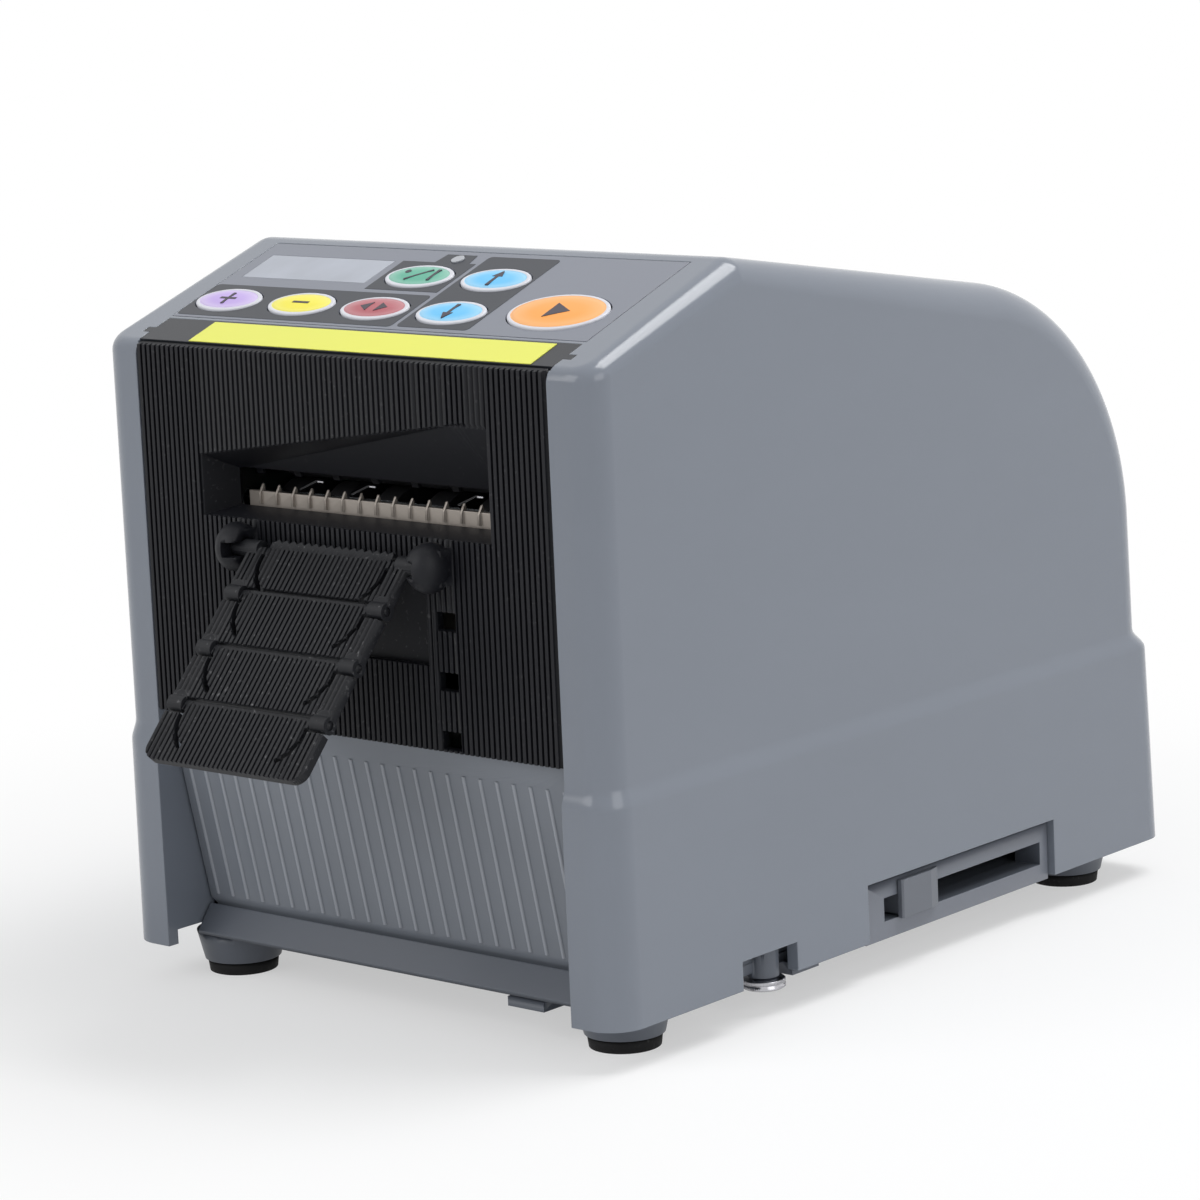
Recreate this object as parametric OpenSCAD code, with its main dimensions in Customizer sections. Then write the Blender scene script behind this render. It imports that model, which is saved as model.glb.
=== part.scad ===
// Bench-top electric tape dispenser: hinged housing, outlet with a folding
// chute, feed rollers, guillotine cutter, tape reel and keypad. Millimetres.
// Front faces -Y, +Z is up, the feet stand on Z = 0.

/* [Housing] */
// Width of the housing above the shoulder line
upper_w = 148; // [146:0.2:149]
// Wall thickness of the moulded housing
wall = 3; // [2.4:0.1:3.2]
// Radius of the upright front corners
corner_r = 7; // [6:0.5:8]
// Radius of the large curve at the back of the hood
hood_r = 66; // [60:1:70]
// Slope of the roof behind the control deck, in degrees
roof_a = 9.65; // [8:0.05:11]

/* [Front panel] */
// Number of upright ribs on the black outlet panel
panel_ribs = 80; // [40:2:90]
// Depth of those ribs
rib_depth = 0.7; // [0.4:0.1:0.9]
// Number of raised lines on the lower grey panel
line_count = 25; // [11:2:31]

/* [Chute] */
// Angle of the chute from the vertical, in degrees
chute_a = 42; // [20:1:60]
// Distance between two link hinges
link_pitch = 14.3; // [12:0.1:16]
// Width of a link
link_w = 47.8; // [44:0.2:48]
// Ribs on each link
link_ribs = 34; // [16:2:40]

/* [Outlet] */
// Number of pointed ridges on the metal guide comb
ridge_count = 14; // [9:1:15]
// Distance between two ridges
ridge_pitch = 5.13; // [3.8:0.01:5.2]

/* [Keys] */
// Height of a key above the overlay
key_proud = 0.6; // [0.4:0.1:1]
// Key travel, the clearance under each key
key_travel = 0.6; // [0.4:0.1:0.6]

/* [Feed and cutter] */
// Gear module of every toothed piece
gear_m = 1; // [1:0.5:1]
// Radius of the rubber feed rings
ring_r = 9; // [8.6:0.1:9]
// Number of rubber feed rings
ring_count = 6; // [3:1:8]

/* [Reel] */
// Radius of the reel core that takes a 76 mm tape core
core_r = 37.4; // [36:0.1:38]

/* [Hidden] */
$fn = 48;
skirt_w = 151;
skirt_z = 9.2;
shoulder_z = 57;
half_u = upper_w / 2;
half_s = skirt_w / 2;
rear_y = 203;
skirt_rear = 208.4;
skirt_front = -1.2;
skirt_r = 8;
edge_r = 4;
roof_r = 6;
hood_edge = 9;
deck_a = 20.25;
deck_z = 150.2;
roof_ref = 177.5;
hood_y = rear_y - 1.2 - hood_r;
hood_z = roof_ref - tan(roof_a) * hood_y - hood_r / cos(roof_a);
opening_half = 62;
hinge_y = 203.4;
hinge_z = 13.2;
hinge_r = 4.2;

link_t = 2.4;
pivot_y = -3.6;
pivot_z = 106.5;
first_link = 11.7;
chute_len = first_link + 3 * link_pitch;
chute_reach = -pivot_y + chute_len * sin(chute_a) + link_t / 2 * cos(chute_a);
front_y = -(skirt_rear - chute_reach) / 2;

overlay_s = 13.5;
overlay_w = 125;
overlay_len = 37.2;
overlay_t = 0.8;
board_z = -7.5;

roll_y = 29;
feed_z = 107.8;
pinch_r = 8;
pinch_z = feed_z + ring_r + pinch_r + 0.4;
drive_y = 25;
drive_z = 135;
feed_teeth = 36;
feed_pin_teeth = 12;
feed_dir = -45;
feed_pin_y = roll_y + (feed_teeth + feed_pin_teeth) / 2 * gear_m * cos(feed_dir);
feed_pin_z = feed_z + (feed_teeth + feed_pin_teeth) / 2 * gear_m * sin(feed_dir);
cut_teeth = 24;
cut_pin_teeth = 12;
cut_dir = 8;
cut_pin_y = drive_y + (cut_teeth + cut_pin_teeth) / 2 * gear_m * cos(cut_dir);
cut_pin_z = drive_z + (cut_teeth + cut_pin_teeth) / 2 * gear_m * sin(cut_dir);
reel_y = 132;
reel_z = 80;
rocker_y = 203.6;
rocker_z = 30.5;
foot_x = 59;
foot_ys = [19.5, 187];
pad_y0 = 87.2;
pad_y1 = 159.1;
pad_x = 73.7;
knob_y = 99.2;
// top of the slide's notch, where the moulding is stored as two nodes
notch_z = 22.8;
screw_x = 69;
screw_y = 55.5;

// key name order: plus, minus, select, mode, forward, reverse, start
key_x = [-52.1, -28.9, -6.2, -6.1, 16.8, 16.8, 45.5];
key_s = [8.6, 8.6, 8.6, 24.4, 24.5, 8.6, 11.6];
key_rx = [9.6, 9.6, 9.6, 9.6, 9.6, 9.6, 13.3];
key_ry = [5.3, 5.3, 5.3, 5.3, 5.3, 5.3, 8.2];

grey = [0.47, 0.49, 0.52];
dark_grey = [0.33, 0.35, 0.38];
black = [0.06, 0.06, 0.065];
steel = [0.72, 0.73, 0.75];
tan_metal = [0.66, 0.61, 0.56];

// Moves a child from the machine's own frame, with Y = 0 at the front face
module machine() { translate([0, front_y, 0]) children(); }

// Sloped control deck: Y runs up the slope, Z is square to it
module on_deck() { translate([0, 0, deck_z]) rotate([deck_a, 0, 0]) children(); }

// Box given by its two corners
module box(a, b) { translate(a) cube(b - a); }

// Rod along X from x0 to x1
module rod(y, z, r, x0, x1) {
  translate([x0, y, z]) rotate([0, 90, 0]) cylinder(r = r, h = x1 - x0);
}

// Outline in the YZ plane, pushed along X from x0 to x1
module slab(points, x0, x1) {
  translate([x0, 0, 0]) rotate([90, 0, 90]) linear_extrude(x1 - x0) polygon(points);
}

// Row of square ribs as an outline: crests at y = 0, valleys at depth, back at thick
function rib_points(w, n, depth, thick) = concat(
  [[-w / 2, thick], [-w / 2, 0]],
  [for (i = [0:n - 1], k = [0:3])
    [-w / 2 + w / n * (i + [0, 0.55, 0.55, 1][k]), k < 2 ? 0 : depth]],
  [[w / 2, thick]]);

function ellipse_points(rx, ry, n = 40) =
  [for (i = [0:n - 1]) [rx * cos(i * 360 / n), ry * sin(i * 360 / n)]];

// Involute gear outline with a little backlash
function inv_deg(a) = tan(a) * 180 / PI - a;
function flank_a(n, r) = let(rb = n * gear_m / 2 * cos(20))
  90 / n - 0.25 + inv_deg(20) - inv_deg(acos(min(1, rb / r)));
function gear_points(n) = let(
    rp = n * gear_m / 2, rb = rp * cos(20), ra = rp + 0.95 * gear_m, rr = rp - 1.25 * gear_m,
    rs = [max(rb, rr), rp, rp + 0.5 * gear_m, ra])
  [for (i = [0:n - 1], k = [0:9])
    let(side = k < 5 ? -1 : 1, j = k < 5 ? k : 9 - k,
        r = j == 0 ? rr : rs[j - 1], a = i * 360 / n + side * flank_a(n, max(r, rs[0])))
    r * [cos(a), sin(a)]];

// Gear on an X axis with a tooth centred at the angle phase, from +Y towards +Z
module gear(n, y, z, x0, x1, phase, bore = 0) {
  translate([x0, y, z]) rotate([90, 0, 90]) linear_extrude(x1 - x0) rotate(phase) difference() {
    polygon(gear_points(n));
    if (bore > 0) circle(r = bore);
  }
}

// Housing above the shoulder, shrunk by g
module upper_form(g) {
  hull() for (s = [-1, 1]) {
    for (t = [0:22.5:90]) translate([s * (half_u - corner_r + (corner_r - edge_r) * sin(t)),
                                     corner_r - (corner_r - edge_r) * cos(t), 0]) {
      y = corner_r - (corner_r - edge_r) * cos(t);
      translate([0, 0, deck_z + tan(deck_a) * y - edge_r / cos(deck_a)]) sphere(r = edge_r - g, $fn = 28);
      translate([0, 0, shoulder_z - 9]) cylinder(r = edge_r - g, h = 1, $fn = 28);
    }
    roof_y = (roof_ref - roof_r / cos(roof_a) - deck_z + roof_r / cos(deck_a)) / (tan(deck_a) + tan(roof_a));
    translate([s * (half_u - roof_r), roof_y, deck_z - roof_r / cos(deck_a) + tan(deck_a) * roof_y])
      sphere(r = roof_r - g, $fn = 28);
    for (i = [0:8]) {
      a = 90 - roof_a - i / 8 * (88 - roof_a);
      translate([s * (half_u - hood_edge), hood_y + (hood_r - hood_edge) * cos(a),
                 hood_z + (hood_r - hood_edge) * sin(a)]) sphere(r = hood_edge - g, $fn = 28);
    }
    translate([s * (half_u - hood_edge), rear_y - hood_edge, shoulder_z - 9])
      cylinder(r = hood_edge - g, h = 1, $fn = 28);
  }
}

// Four upright corners of a ring round the machine, shrunk by g
module ring_corners(half, y0, y1, r, g, z, h) {
  for (s = [-1, 1], y = [y0 + r, y1 - r])
    translate([s * (half - r), y, z]) cylinder(r = r - g, h = h, $fn = 40);
}

// Skirt below the shoulder, shrunk by g
module skirt_form(g) {
  hull() {
    ring_corners(half_s, skirt_front, skirt_rear, skirt_r, g, skirt_z - g / 2, 0.1);
    ring_corners(half_s - 0.4, skirt_front, skirt_rear - 2.4, skirt_r, g, shoulder_z - 0.1, 0.1);
  }
}

module shoulder_form() {
  hull() {
    ring_corners(half_s - 0.4, skirt_front, skirt_rear - 2.4, skirt_r, 0, shoulder_z - 0.1, 0.1);
    ring_corners(half_u, 0, rear_y, corner_r, 0, shoulder_z + 5, 0.1);
  }
}

module key_hole(i, grow, z0, z1) {
  on_deck() translate([key_x[i], overlay_s + key_s[i], z0]) linear_extrude(z1 - z0)
    polygon(ellipse_points(key_rx[i] + grow, key_ry[i] + grow));
}

// Knuckle that hangs from the back wall round the hinge pin
module cover_lug(s) {
  difference() {
    union() {
      rod(hinge_y, hinge_z, hinge_r, s * 39 - 2.5, s * 39 + 2.5);
      box([s * 39 - 2.5, hinge_y - 2.4, hinge_z], [s * 39 + 2.5, skirt_rear - 1.8, 22]);
    }
    rod(hinge_y, hinge_z, 2.05, -45, 45);
  }
}

module cover_shell() {
  color(grey) machine() cover_band(notch_z, 200);
}

module cover_skirt() {
  color(grey) machine() union() {
    cover_band(0, notch_z);
    for (s = [-1, 1]) cover_lug(s);
  }
}

// The part of the moulding between two levels
module cover_band(z0, z1) {
  intersection() { cover_body(); box([-90, -20, z0], [90, 230, z1]); }
}

module cover_body() {
  difference() {
    union() {
      difference() {
        union() { upper_form(0); skirt_form(0); shoulder_form(); }
        upper_form(wall);
        skirt_form(wall);
      }
      for (s = [-1, 1]) box([s * 63.2 - 1.2, 1.5, 12.6], [s * 63.2 + 1.2, 14, deck_z - 0.5]);
      on_deck() for (x = [-40, 40], s = [13.3, 52]) translate([x, s, board_z]) cylinder(r = 1.6, h = 5.5);
    }
    box([-opening_half, -5, -1], [opening_half, 6, 146.6]);
    box([-opening_half, -5, 146], [opening_half, 2, 200]);
    box([half_s - 12, 40.7, -1], [half_s + 5, 60, 15.8]);
    box([half_s - 12, pad_y0 - 0.9, -1], [half_s + 5, pad_y1 + 0.5, notch_z]);
    box([-34, rear_y - 10, -1], [34, skirt_rear + 5, 46.5]);
    box([-47, rear_y - 10, -1], [47, skirt_rear + 5, 19]);
    on_deck() {
      box([-overlay_w / 2 - 0.1, overlay_s - 0.1, -overlay_t],
          [overlay_w / 2 + 0.1, overlay_s + overlay_len + 0.1, 5]);
      box([-62.4, 1, -1], [62.4, 12.3, 5]);
      box([-64.7, 5.4, -1], [64.7, 7.6, 5]);
      box([-59, overlay_s + 19.7, -8], [-19.2, overlay_s + 31.8, 2]);
      translate([-1.9, overlay_s + 33.3, -9]) cylinder(r = 1.7, h = 12);
    }
    for (i = [0:6]) key_hole(i, 0.35, -9, 5);
  }
}

module deck_strip() {
  color(black) machine() on_deck() union() {
    box([-62.3, 2.05, -1], [62.3, 12.2, 0]);
    box([-64.6, 5.5, -1], [64.6, 7.5, 0]);
  }
}

module label_plate() {
  color([0.88, 0.9, 0.38]) machine() on_deck() box([-46.7, 2.3, 0], [56, 11.5, 0.15]);
}

module deck_overlay() {
  color([0.5, 0.52, 0.55]) machine() difference() {
    on_deck() difference() {
      box([-overlay_w / 2, overlay_s, -overlay_t], [overlay_w / 2, overlay_s + overlay_len, 0]);
      box([-58.6, overlay_s + 20.1, -2], [-19.6, overlay_s + 31.4, 2]);
      translate([-1.9, overlay_s + 33.3, -2]) cylinder(r = 1.65, h = 4);
    }
    for (i = [0:6]) key_hole(i, 0.35, -2, 2);
  }
}

module display_window() {
  color([0.75, 0.78, 0.8]) machine() on_deck()
    box([-58.5, overlay_s + 20.2, -overlay_t], [-19.7, overlay_s + 31.3, 0]);
}

module display_module() {
  color(black) machine() on_deck()
    box([-58.7, overlay_s + 20, board_z], [-19.5, overlay_s + 31.5, -overlay_t - 0.3]);
}

module key_board() {
  color([0.12, 0.35, 0.2]) machine() on_deck() union() {
    box([-58, 11.5, board_z - 1.6], [52, 53.5, board_z]);
    for (i = [0:6]) translate([key_x[i], overlay_s + key_s[i], board_z - 0.2])
      cylinder(r = 2.6, h = 0.6 + (0.6 - key_travel));
    box([-42, 30, board_z - 5.4], [-30, 40, board_z - 1.6]);
  }
}

module status_lens() {
  color([0.4, 0.42, 0.45]) machine() on_deck()
    translate([-1.9, overlay_s + 33.3, board_z]) cylinder(r = 1.6, h = 0.3 - board_z);
}

// Oval key: cap with a stepped rim, retaining flange and stem
module key(i, c) {
  color(c) machine() on_deck() translate([key_x[i], overlay_s + key_s[i], 0]) union() {
    translate([0, 0, -3.6]) linear_extrude(3.3 + key_proud)
      polygon(ellipse_points(key_rx[i], key_ry[i]));
    translate([0, 0, key_proud - 0.4]) linear_extrude(0.4)
      polygon(ellipse_points(key_rx[i] - 0.5, key_ry[i] - 0.5));
    translate([0, 0, -4.8]) linear_extrude(1.4)
      polygon(ellipse_points(key_rx[i] + 0.9, key_ry[i] + 0.9));
    translate([0, 0, -6.2]) cylinder(r = 2, h = 2);
  }
}

module key_plus() { key(0, [0.72, 0.6, 0.88]); }
module key_minus() { key(1, [0.93, 0.9, 0.25]); }
module key_select() { key(2, [0.66, 0.28, 0.33]); }
module key_mode() { key(3, [0.28, 0.65, 0.53]); }
module key_forward() { key(4, [0.4, 0.77, 0.95]); }
module key_reverse() { key(5, [0.4, 0.77, 0.95]); }
module key_start() { key(6, [0.97, 0.62, 0.24]); }

module base_tray() {
  color(dark_grey) machine() difference() {
    union() {
      box([-69, 16, 9.6], [69, 197, 12]);
      box([-61.4, 12, 9.6], [61.4, 16, 12]);
      slab([[7.8, 10.4], [14.4, 9.6], [14.4, 16], [12.2, 16.8], [7.8, 11.2]], -61.4, 61.4);
      for (s = [-1, 1]) {
        box([s * 67.6 - 1.2, 18, 9.6], [s * 67.6 + 1.2, 197, 44]);
        rod(hinge_y, hinge_z, 3.6, s * 44.2 - 2.2, s * 44.2 + 2.2);
        box([s * 44.2 - 2.2, 190, 9.6], [s * 44.2 + 2.2, hinge_y, hinge_z + 3.6]);
        for (y = foot_ys) translate([s * foot_x, y, 3]) cylinder(r1 = 9, r2 = 10.6, h = 6.8);
      }
      box([66.5, pad_y0, 8.2], [pad_x, pad_y1, 21.9]);
      slab([[199.5, 9.6], [206, 9.6], [206, 45], [203, 45], [203, 12], [199.5, 12]], -33.5, 33.5);
      box([-33.5, 190, 9.6], [33.5, 204, 12]);
      for (y = [100, 150], z = [22, 40]) rod(y, z, 3, -67, -59.6);
      translate([screw_x, screw_y, 8.4]) cylinder(r = 3.6, h = 6.8);
      box([62, 62.5, 7], [71.8, 72, 9.8]);
      box([35, 8.5, 7.6], [45.5, 16, 9.8]);
    }
    box([55, 94.3, 12.3], [80, 156, 17.8]);
    for (s = [-1, 1]) box([s * 39 - 3.1, 190, 8], [s * 39 + 3.1, 206, 40]);
    rod(hinge_y, hinge_z, 2, -60, 60);
    translate([screw_x, screw_y, 7]) cylinder(r = 1.75, h = 7.2);
    box([-26, 200, 20], [-8, 210, 41]);
    rod_y_cut(17, 30, 5.5, 200, 210);
    for (s = [-1, 1], y = foot_ys) translate([s * foot_x, y, 2.5]) cylinder(r = 1.6, h = 7.5);
  }
}

// Round hole along Y
module rod_y_cut(x, z, r, y0, y1) { translate([x, y0, z]) rotate([-90, 0, 0]) cylinder(r = r, h = y1 - y0); }

module foot_pads() {
  color(black) machine() for (s = [-1, 1], y = foot_ys) translate([s * foot_x, y, 0]) union() {
    cylinder(r1 = 8, r2 = 8.4, h = 3);
    translate([0, 0, 3]) cylinder(r = 1.6, h = 5);
  }
}

module lower_front_panel() {
  t = 2.2;
  color(grey) machine() union() {
    slab([[12.6, 18.2], [2.9, 64.8], [2.9 + t, 64.8], [12.6 + t, 18.6], [14.4 + t, 18.6], [14.4 + t, 12],
          [14.4, 12], [14.4, 16.4]], -61.4, 61.4);
    pitch = 116.9 / (line_count - 1);
    for (i = [0:line_count - 1], x = -58.45 + i * pitch)
      slab([[12, 19.4], [3.72, 59.2], [4.4, 59.2], [12.8, 19.4]], x - 0.35, x + 0.35);
  }
}

// Front opening of the outlet, seen from the front, pushed along Y
module outlet_shape(g, y0, y1, slot) {
  translate([0, y1, 0]) rotate([90, 0, 0]) linear_extrude(y1 - y0) polygon(slot
    ? [[-40 - g, 113.4 - g], [40 + g, 113.4 - g], [40 + g, 121.6 + g], [-40 - g, 121.6 + g]]
    : [[-43.3 - g, 112 - g], [44.5 + g, 112 - g], [44.5 + g, 139.2 + g], [-43.3 - g, 126.5 + g]]);
}

module outlet_panel() {
  color(black) machine() difference() {
    union() {
      difference() {
        translate([0, 0, 65.4]) linear_extrude(90) polygon(rib_points(122.8, panel_ribs, rib_depth, 2.6));
        on_deck() box([-70, -10, -0.3], [70, 20, 40]);
        box([-70, 1.6, 140], [70, 5, 160]);
      }
      hull() { outlet_shape(1.8, 1.2, 1.4, false); outlet_shape(1.8, 9.2, 9.4, true); }
      for (s = [-1, 1]) {
        box([s * 59.9 - 1.3, 2, 68], [s * 59.9 + 1.3, 30, 139]);
        for (z = [72, s < 0 ? 131 : 100]) box([s * 55.4 - 3.4, 18, z], [s * 55.4 + 3.4, 26, z + 6]);
        ear(s);
      }
    }
    hull() { outlet_shape(0, -1, -0.8, false); outlet_shape(0, 9.3, 9.6, true); }
    box([-24.6, -1, 84], [24.6, 1.6, 105]);
    for (s = [-1, 1]) {
      for (z = [68, 81, 94.2]) box([s * 30 - 3, -1, z - 2.1], [s * 30 + 3, 5, z + 2.1]);
      rod(pivot_y, pivot_z, 2.05, s * 29.2 - 3.2, s * 29.2 + 3.2);
      box([s * 27.4 - 1.6, -12, pivot_z - 1.7], [s * 27.4 + 1.6, pivot_y, pivot_z + 1.7]);
    }
  }
}

// Domed ear that takes a trunnion of the chute
module ear(s) {
  difference() {
    union() {
      translate([s * 29.5, pivot_y + 0.3, pivot_z]) rotate([0, s * 90, 0]) rotate_extrude()
        polygon(concat([[0, -4]], [for (t = [-36:14:90]) [5.6 * cos(t), (t < 0 ? 5.6 : 3.9) * sin(t)]]));
      box([s * 29.5 - 3.4, pivot_y, pivot_z - 4], [s * 29.5 + 3.4, 1.4, pivot_z + 4]);
    }
    box([s * 21.1 - 5, -20, pivot_z - 10], [s * 21.1 + 5, 20, pivot_z + 10]);
    box([-60, 2.4, pivot_z - 10], [60, 20, pivot_z + 10]);
  }
}

module guide_comb() {
  x0 = -1.4 - ridge_pitch * (ridge_count - 1) / 2;
  color(tan_metal) machine() union() {
    box([-38.6, 10.5, 96], [37.6, 11.5, 116.6]);
    for (i = [0:ridge_count - 1])
      slab([[9.8, 113.8], [10.6, 113.8], [11.5, 115], [11.5, 117.4], [11.2, 118.2], [9.9, 116.2]],
           x0 + i * ridge_pitch - 0.3, x0 + i * ridge_pitch + 0.3);
    box([-50, 10.5, 90], [50, 11.5, 98]);
    for (s = [-1, 1]) box([s * 49 - 1, 10.5, 90], [s * 49 + 1, 12.4, 98]);
  }
}

module finger_guide() {
  color(black) machine() union() {
    box([-50, 10.2, 124], [50, 12.6, 130]);
    for (i = [0:6]) slab([[10.2, 124.5], [12.6, 124.5], [12.6, 120.4], [11.8, 120.4]],
                         -36 + i * 12 - 1, -36 + i * 12 + 1);
    for (s = [-1, 1]) box([s * 49 - 1, 10.2, 124], [s * 49 + 1, 14.6, 130]);
  }
}

module lower_blade() {
  color(steel) machine() union() {
    slab([[12, 92], [13.4, 92], [13.4, 116.6], [12, 115]], -42, 42);
    box([-50, 12.4, 86], [50, 13.4, 102]);
    for (s = [-1, 1]) box([s * 48.5 - 1.5, 12.4, 86], [s * 48.5 + 1.5, 18, 90]);
  }
}

// Side plate of the mechanism, with a bent foot and its shaft holes
module frame_plate(s) {
  color([0.55, 0.56, 0.58]) machine() difference() {
    union() {
      slab([[18, 12], [66, 12], [66, 84], [58, 96], [58, 143], [12.4, 143], [12.4, 84], [18, 72]],
           s * 51 - 1, s * 51 + 1);
      box([s * 54.5 - 3.5, 18, 12], [s * 54.5 + 3.5, 48, 14]);
    }
    rod(roll_y, feed_z, 3.05, s * 51 - 3, s * 51 + 3);
    rod(roll_y, pinch_z, 3.05, s * 51 - 3, s * 51 + 3);
    box([s * 51 - 3, 14.9, 117], [s * 51 + 3, 18, 150]);
    if (s < 0) rod(feed_pin_y, feed_pin_z, 4, -54, -48);
    if (s > 0) {
      rod(drive_y, drive_z, 2.55, 48, 54);
      rod(cut_pin_y, cut_pin_z, 4, 48, 54);
    }
    for (p = [[60, 76], [60, 24], [24, 40]]) rod(p[0], p[1], 2.5, s * 51 - 3, s * 51 + 3);
  }
}
module frame_plate_left() { frame_plate(-1); }
module frame_plate_right() { frame_plate(1); }

module cross_rods() {
  color(steel) machine() for (p = [[60, 76], [60, 24], [24, 40]]) union() {
    rod(p[0], p[1], 4, -50, 50);
    rod(p[0], p[1], 2.5, -53, 53);
  }
}

module feed_motor() {
  color([0.4, 0.41, 0.43]) machine() difference() {
    union() {
      rod(feed_pin_y, feed_pin_z, 13.5, -50, -10);
      rod(feed_pin_y, feed_pin_z, 4, -51.6, -49.8);
      rod(feed_pin_y, feed_pin_z, 5, -10.1, -7.5);
    }
    rod(feed_pin_y, feed_pin_z, 1.55, -52, -43);
  }
}

module cutter_motor() {
  color([0.4, 0.41, 0.43]) machine() difference() {
    union() {
      rod(cut_pin_y, cut_pin_z, 9.6, 12, 50);
      rod(cut_pin_y, cut_pin_z, 4, 49.8, 51.6);
      rod(cut_pin_y, cut_pin_z, 4, 9.5, 12.1);
    }
    rod(cut_pin_y, cut_pin_z, 1.55, 43, 52);
  }
}

module feed_shaft() {
  color(steel) machine() union() {
    rod(roll_y, feed_z, 3, -58.2, 53);
    rod(roll_y, feed_z, 5, -46, 46);
  }
}

module feed_rings() {
  pitch = 76 / (ring_count - 1);
  color([0.16, 0.16, 0.17]) machine() difference() {
    for (i = [0:ring_count - 1]) rod(roll_y, feed_z, ring_r, -38 + i * pitch - 3, -38 + i * pitch + 3);
    rod(roll_y, feed_z, 5, -60, 60);
  }
}

module feed_gear() {
  color([0.9, 0.9, 0.86]) machine() gear(feed_teeth, roll_y, feed_z, -57.4, -53.4, feed_dir, 3);
}

module feed_pinion() {
  color([0.75, 0.68, 0.42]) machine() union() {
    gear(feed_pin_teeth, feed_pin_y, feed_pin_z, -57.4, -53, feed_dir + 180 + 180 / feed_pin_teeth);
    rod(feed_pin_y, feed_pin_z, 1.5, -53.1, -44);
  }
}

module pinch_shaft() {
  color(steel) machine() rod(roll_y, pinch_z, 3, -53, 53);
}

module pinch_sleeve() {
  color([0.3, 0.3, 0.31]) machine() difference() {
    rod(roll_y, pinch_z, pinch_r, -40, 40);
    rod(roll_y, pinch_z, 3, -60, 60);
  }
}

// Crossbar in the plate slots, with a rack for the cutter drive
module blade_carrier() {
  m = gear_m;
  rack_y = drive_y - 6 * m;
  color([0.3, 0.31, 0.33]) machine() union() {
    box([-49.6, 15.2, 126], [49.6, 17.7, 142]);
    box([-51.8, 15.2, 126], [51.8, 17.7, 136]);
    slab(concat([[16, 128], [rack_y - 1.25 * m, 128]],
      [for (i = [-1:2], k = [0:3])
        [rack_y + (k == 1 || k == 2 ? 0.8 : -1.25) * m,
         drive_z + i * PI * m + [-1.2, -0.42, 0.42, 1.2][k] * m]],
      [[rack_y - 1.25 * m, 143.4], [16, 143.4]]), 43, 47);
  }
}

module upper_blade() {
  color(steel) machine() slab([[13.8, 123.2], [15.2, 121.8], [15.2, 138], [13.8, 138]], -42, 42);
}

module cutter_shaft() {
  color(steel) machine() union() {
    rod(drive_y, drive_z, 2.5, 42.6, 57.2);
    gear(12, drive_y, drive_z, 43, 47, 195, 2.4);
  }
}

module cutter_gear() {
  color([0.9, 0.9, 0.86]) machine() gear(cut_teeth, drive_y, drive_z, 53.4, 56.6, cut_dir, 2.5);
}

module cutter_pinion() {
  color([0.75, 0.68, 0.42]) machine() union() {
    gear(cut_pin_teeth, cut_pin_y, cut_pin_z, 53, 56.6, cut_dir + 180 + 180 / cut_pin_teeth);
    rod(cut_pin_y, cut_pin_z, 1.5, 44, 53.1);
  }
}

// Upright that carries one end of the reel axle in an open-topped slot
module reel_post(s) {
  color(dark_grey) machine() difference() {
    union() {
      slab([[112, 12], [152, 12], [142, 72], [142, 86], [122, 86], [122, 72]],
           s * 43.5 - 1.5, s * 43.5 + 1.5);
      box([s * 47 - 5, 112, 12], [s * 47 + 5, 152, 14]);
    }
    rod(reel_y, reel_z, 4, s * 43.5 - 4, s * 43.5 + 4);
    box([s * 43.5 - 4, reel_y - 4, reel_z], [s * 43.5 + 4, reel_y + 4, 100]);
  }
}
module reel_post_left() { reel_post(-1); }
module reel_post_right() { reel_post(1); }

module reel_axle() {
  color(steel) machine() rod(reel_y, reel_z, 4, -48, 48);
}

module reel_core() {
  color([0.2, 0.5, 0.36]) machine() difference() {
    union() {
      difference() {
        rod(reel_y, reel_z, core_r, -32, 32);
        rod(reel_y, reel_z, core_r - 3, -33, 33);
      }
      rod(reel_y, reel_z, 9, -41.6, 41.6);
      for (a = [0:60:300]) translate([0, reel_y, reel_z]) rotate([a, 0, 0])
        box([-32, -1.4, 6], [32, 1.4, core_r - 1]);
    }
    rod(reel_y, reel_z, 4.06, -60, 60);
  }
}

module reel_flanges() {
  color([0.24, 0.56, 0.42]) machine() for (s = [-1, 1]) difference() {
    rod(reel_y, reel_z, 44, s * 33.25 - 1.25, s * 33.25 + 1.25);
    rod(reel_y, reel_z, 9, s * 33.25 - 3, s * 33.25 + 3);
    for (a = [0:60:300]) translate([0, reel_y, reel_z]) rotate([a + 30, 0, 0])
      rod(0, 24, 8, s * 33.25 - 3, s * 33.25 + 3);
  }
}

module main_board() {
  color([0.12, 0.35, 0.2]) machine() union() {
    box([-59.6, 92, 16], [-58, 158, 62]);
    box([-58.1, 98, 44], [-52, 112, 58]);
    box([-58.1, 120, 20], [-50, 140, 34]);
    for (y = [120, 134, 148]) rod(y, 50, 5, -58.1, -49);
  }
}

module power_inlet() {
  color(black) machine() difference() {
    union() {
      translate([17, 190, 30]) rotate([-90, 0, 0]) cylinder(r = 5.4, h = 16.8);
      translate([17, 206, 30]) rotate([-90, 0, 0]) cylinder(r = 7, h = 1.2);
    }
    translate([17, 194, 30]) rotate([-90, 0, 0]) cylinder(r = 3, h = 20);
  }
}

module switch_frame() {
  color(black) machine() difference() {
    union() {
      box([-25.9, 192, 20.1], [-8.1, 206.2, 40.9]);
      box([-28, 206, 18], [-6, 207.4, 43]);
    }
    box([-23, 195, 22.5], [-11, 212, 38.5]);
    rod(rocker_y, rocker_z, 1.65, -25, -9);
  }
}

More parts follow.
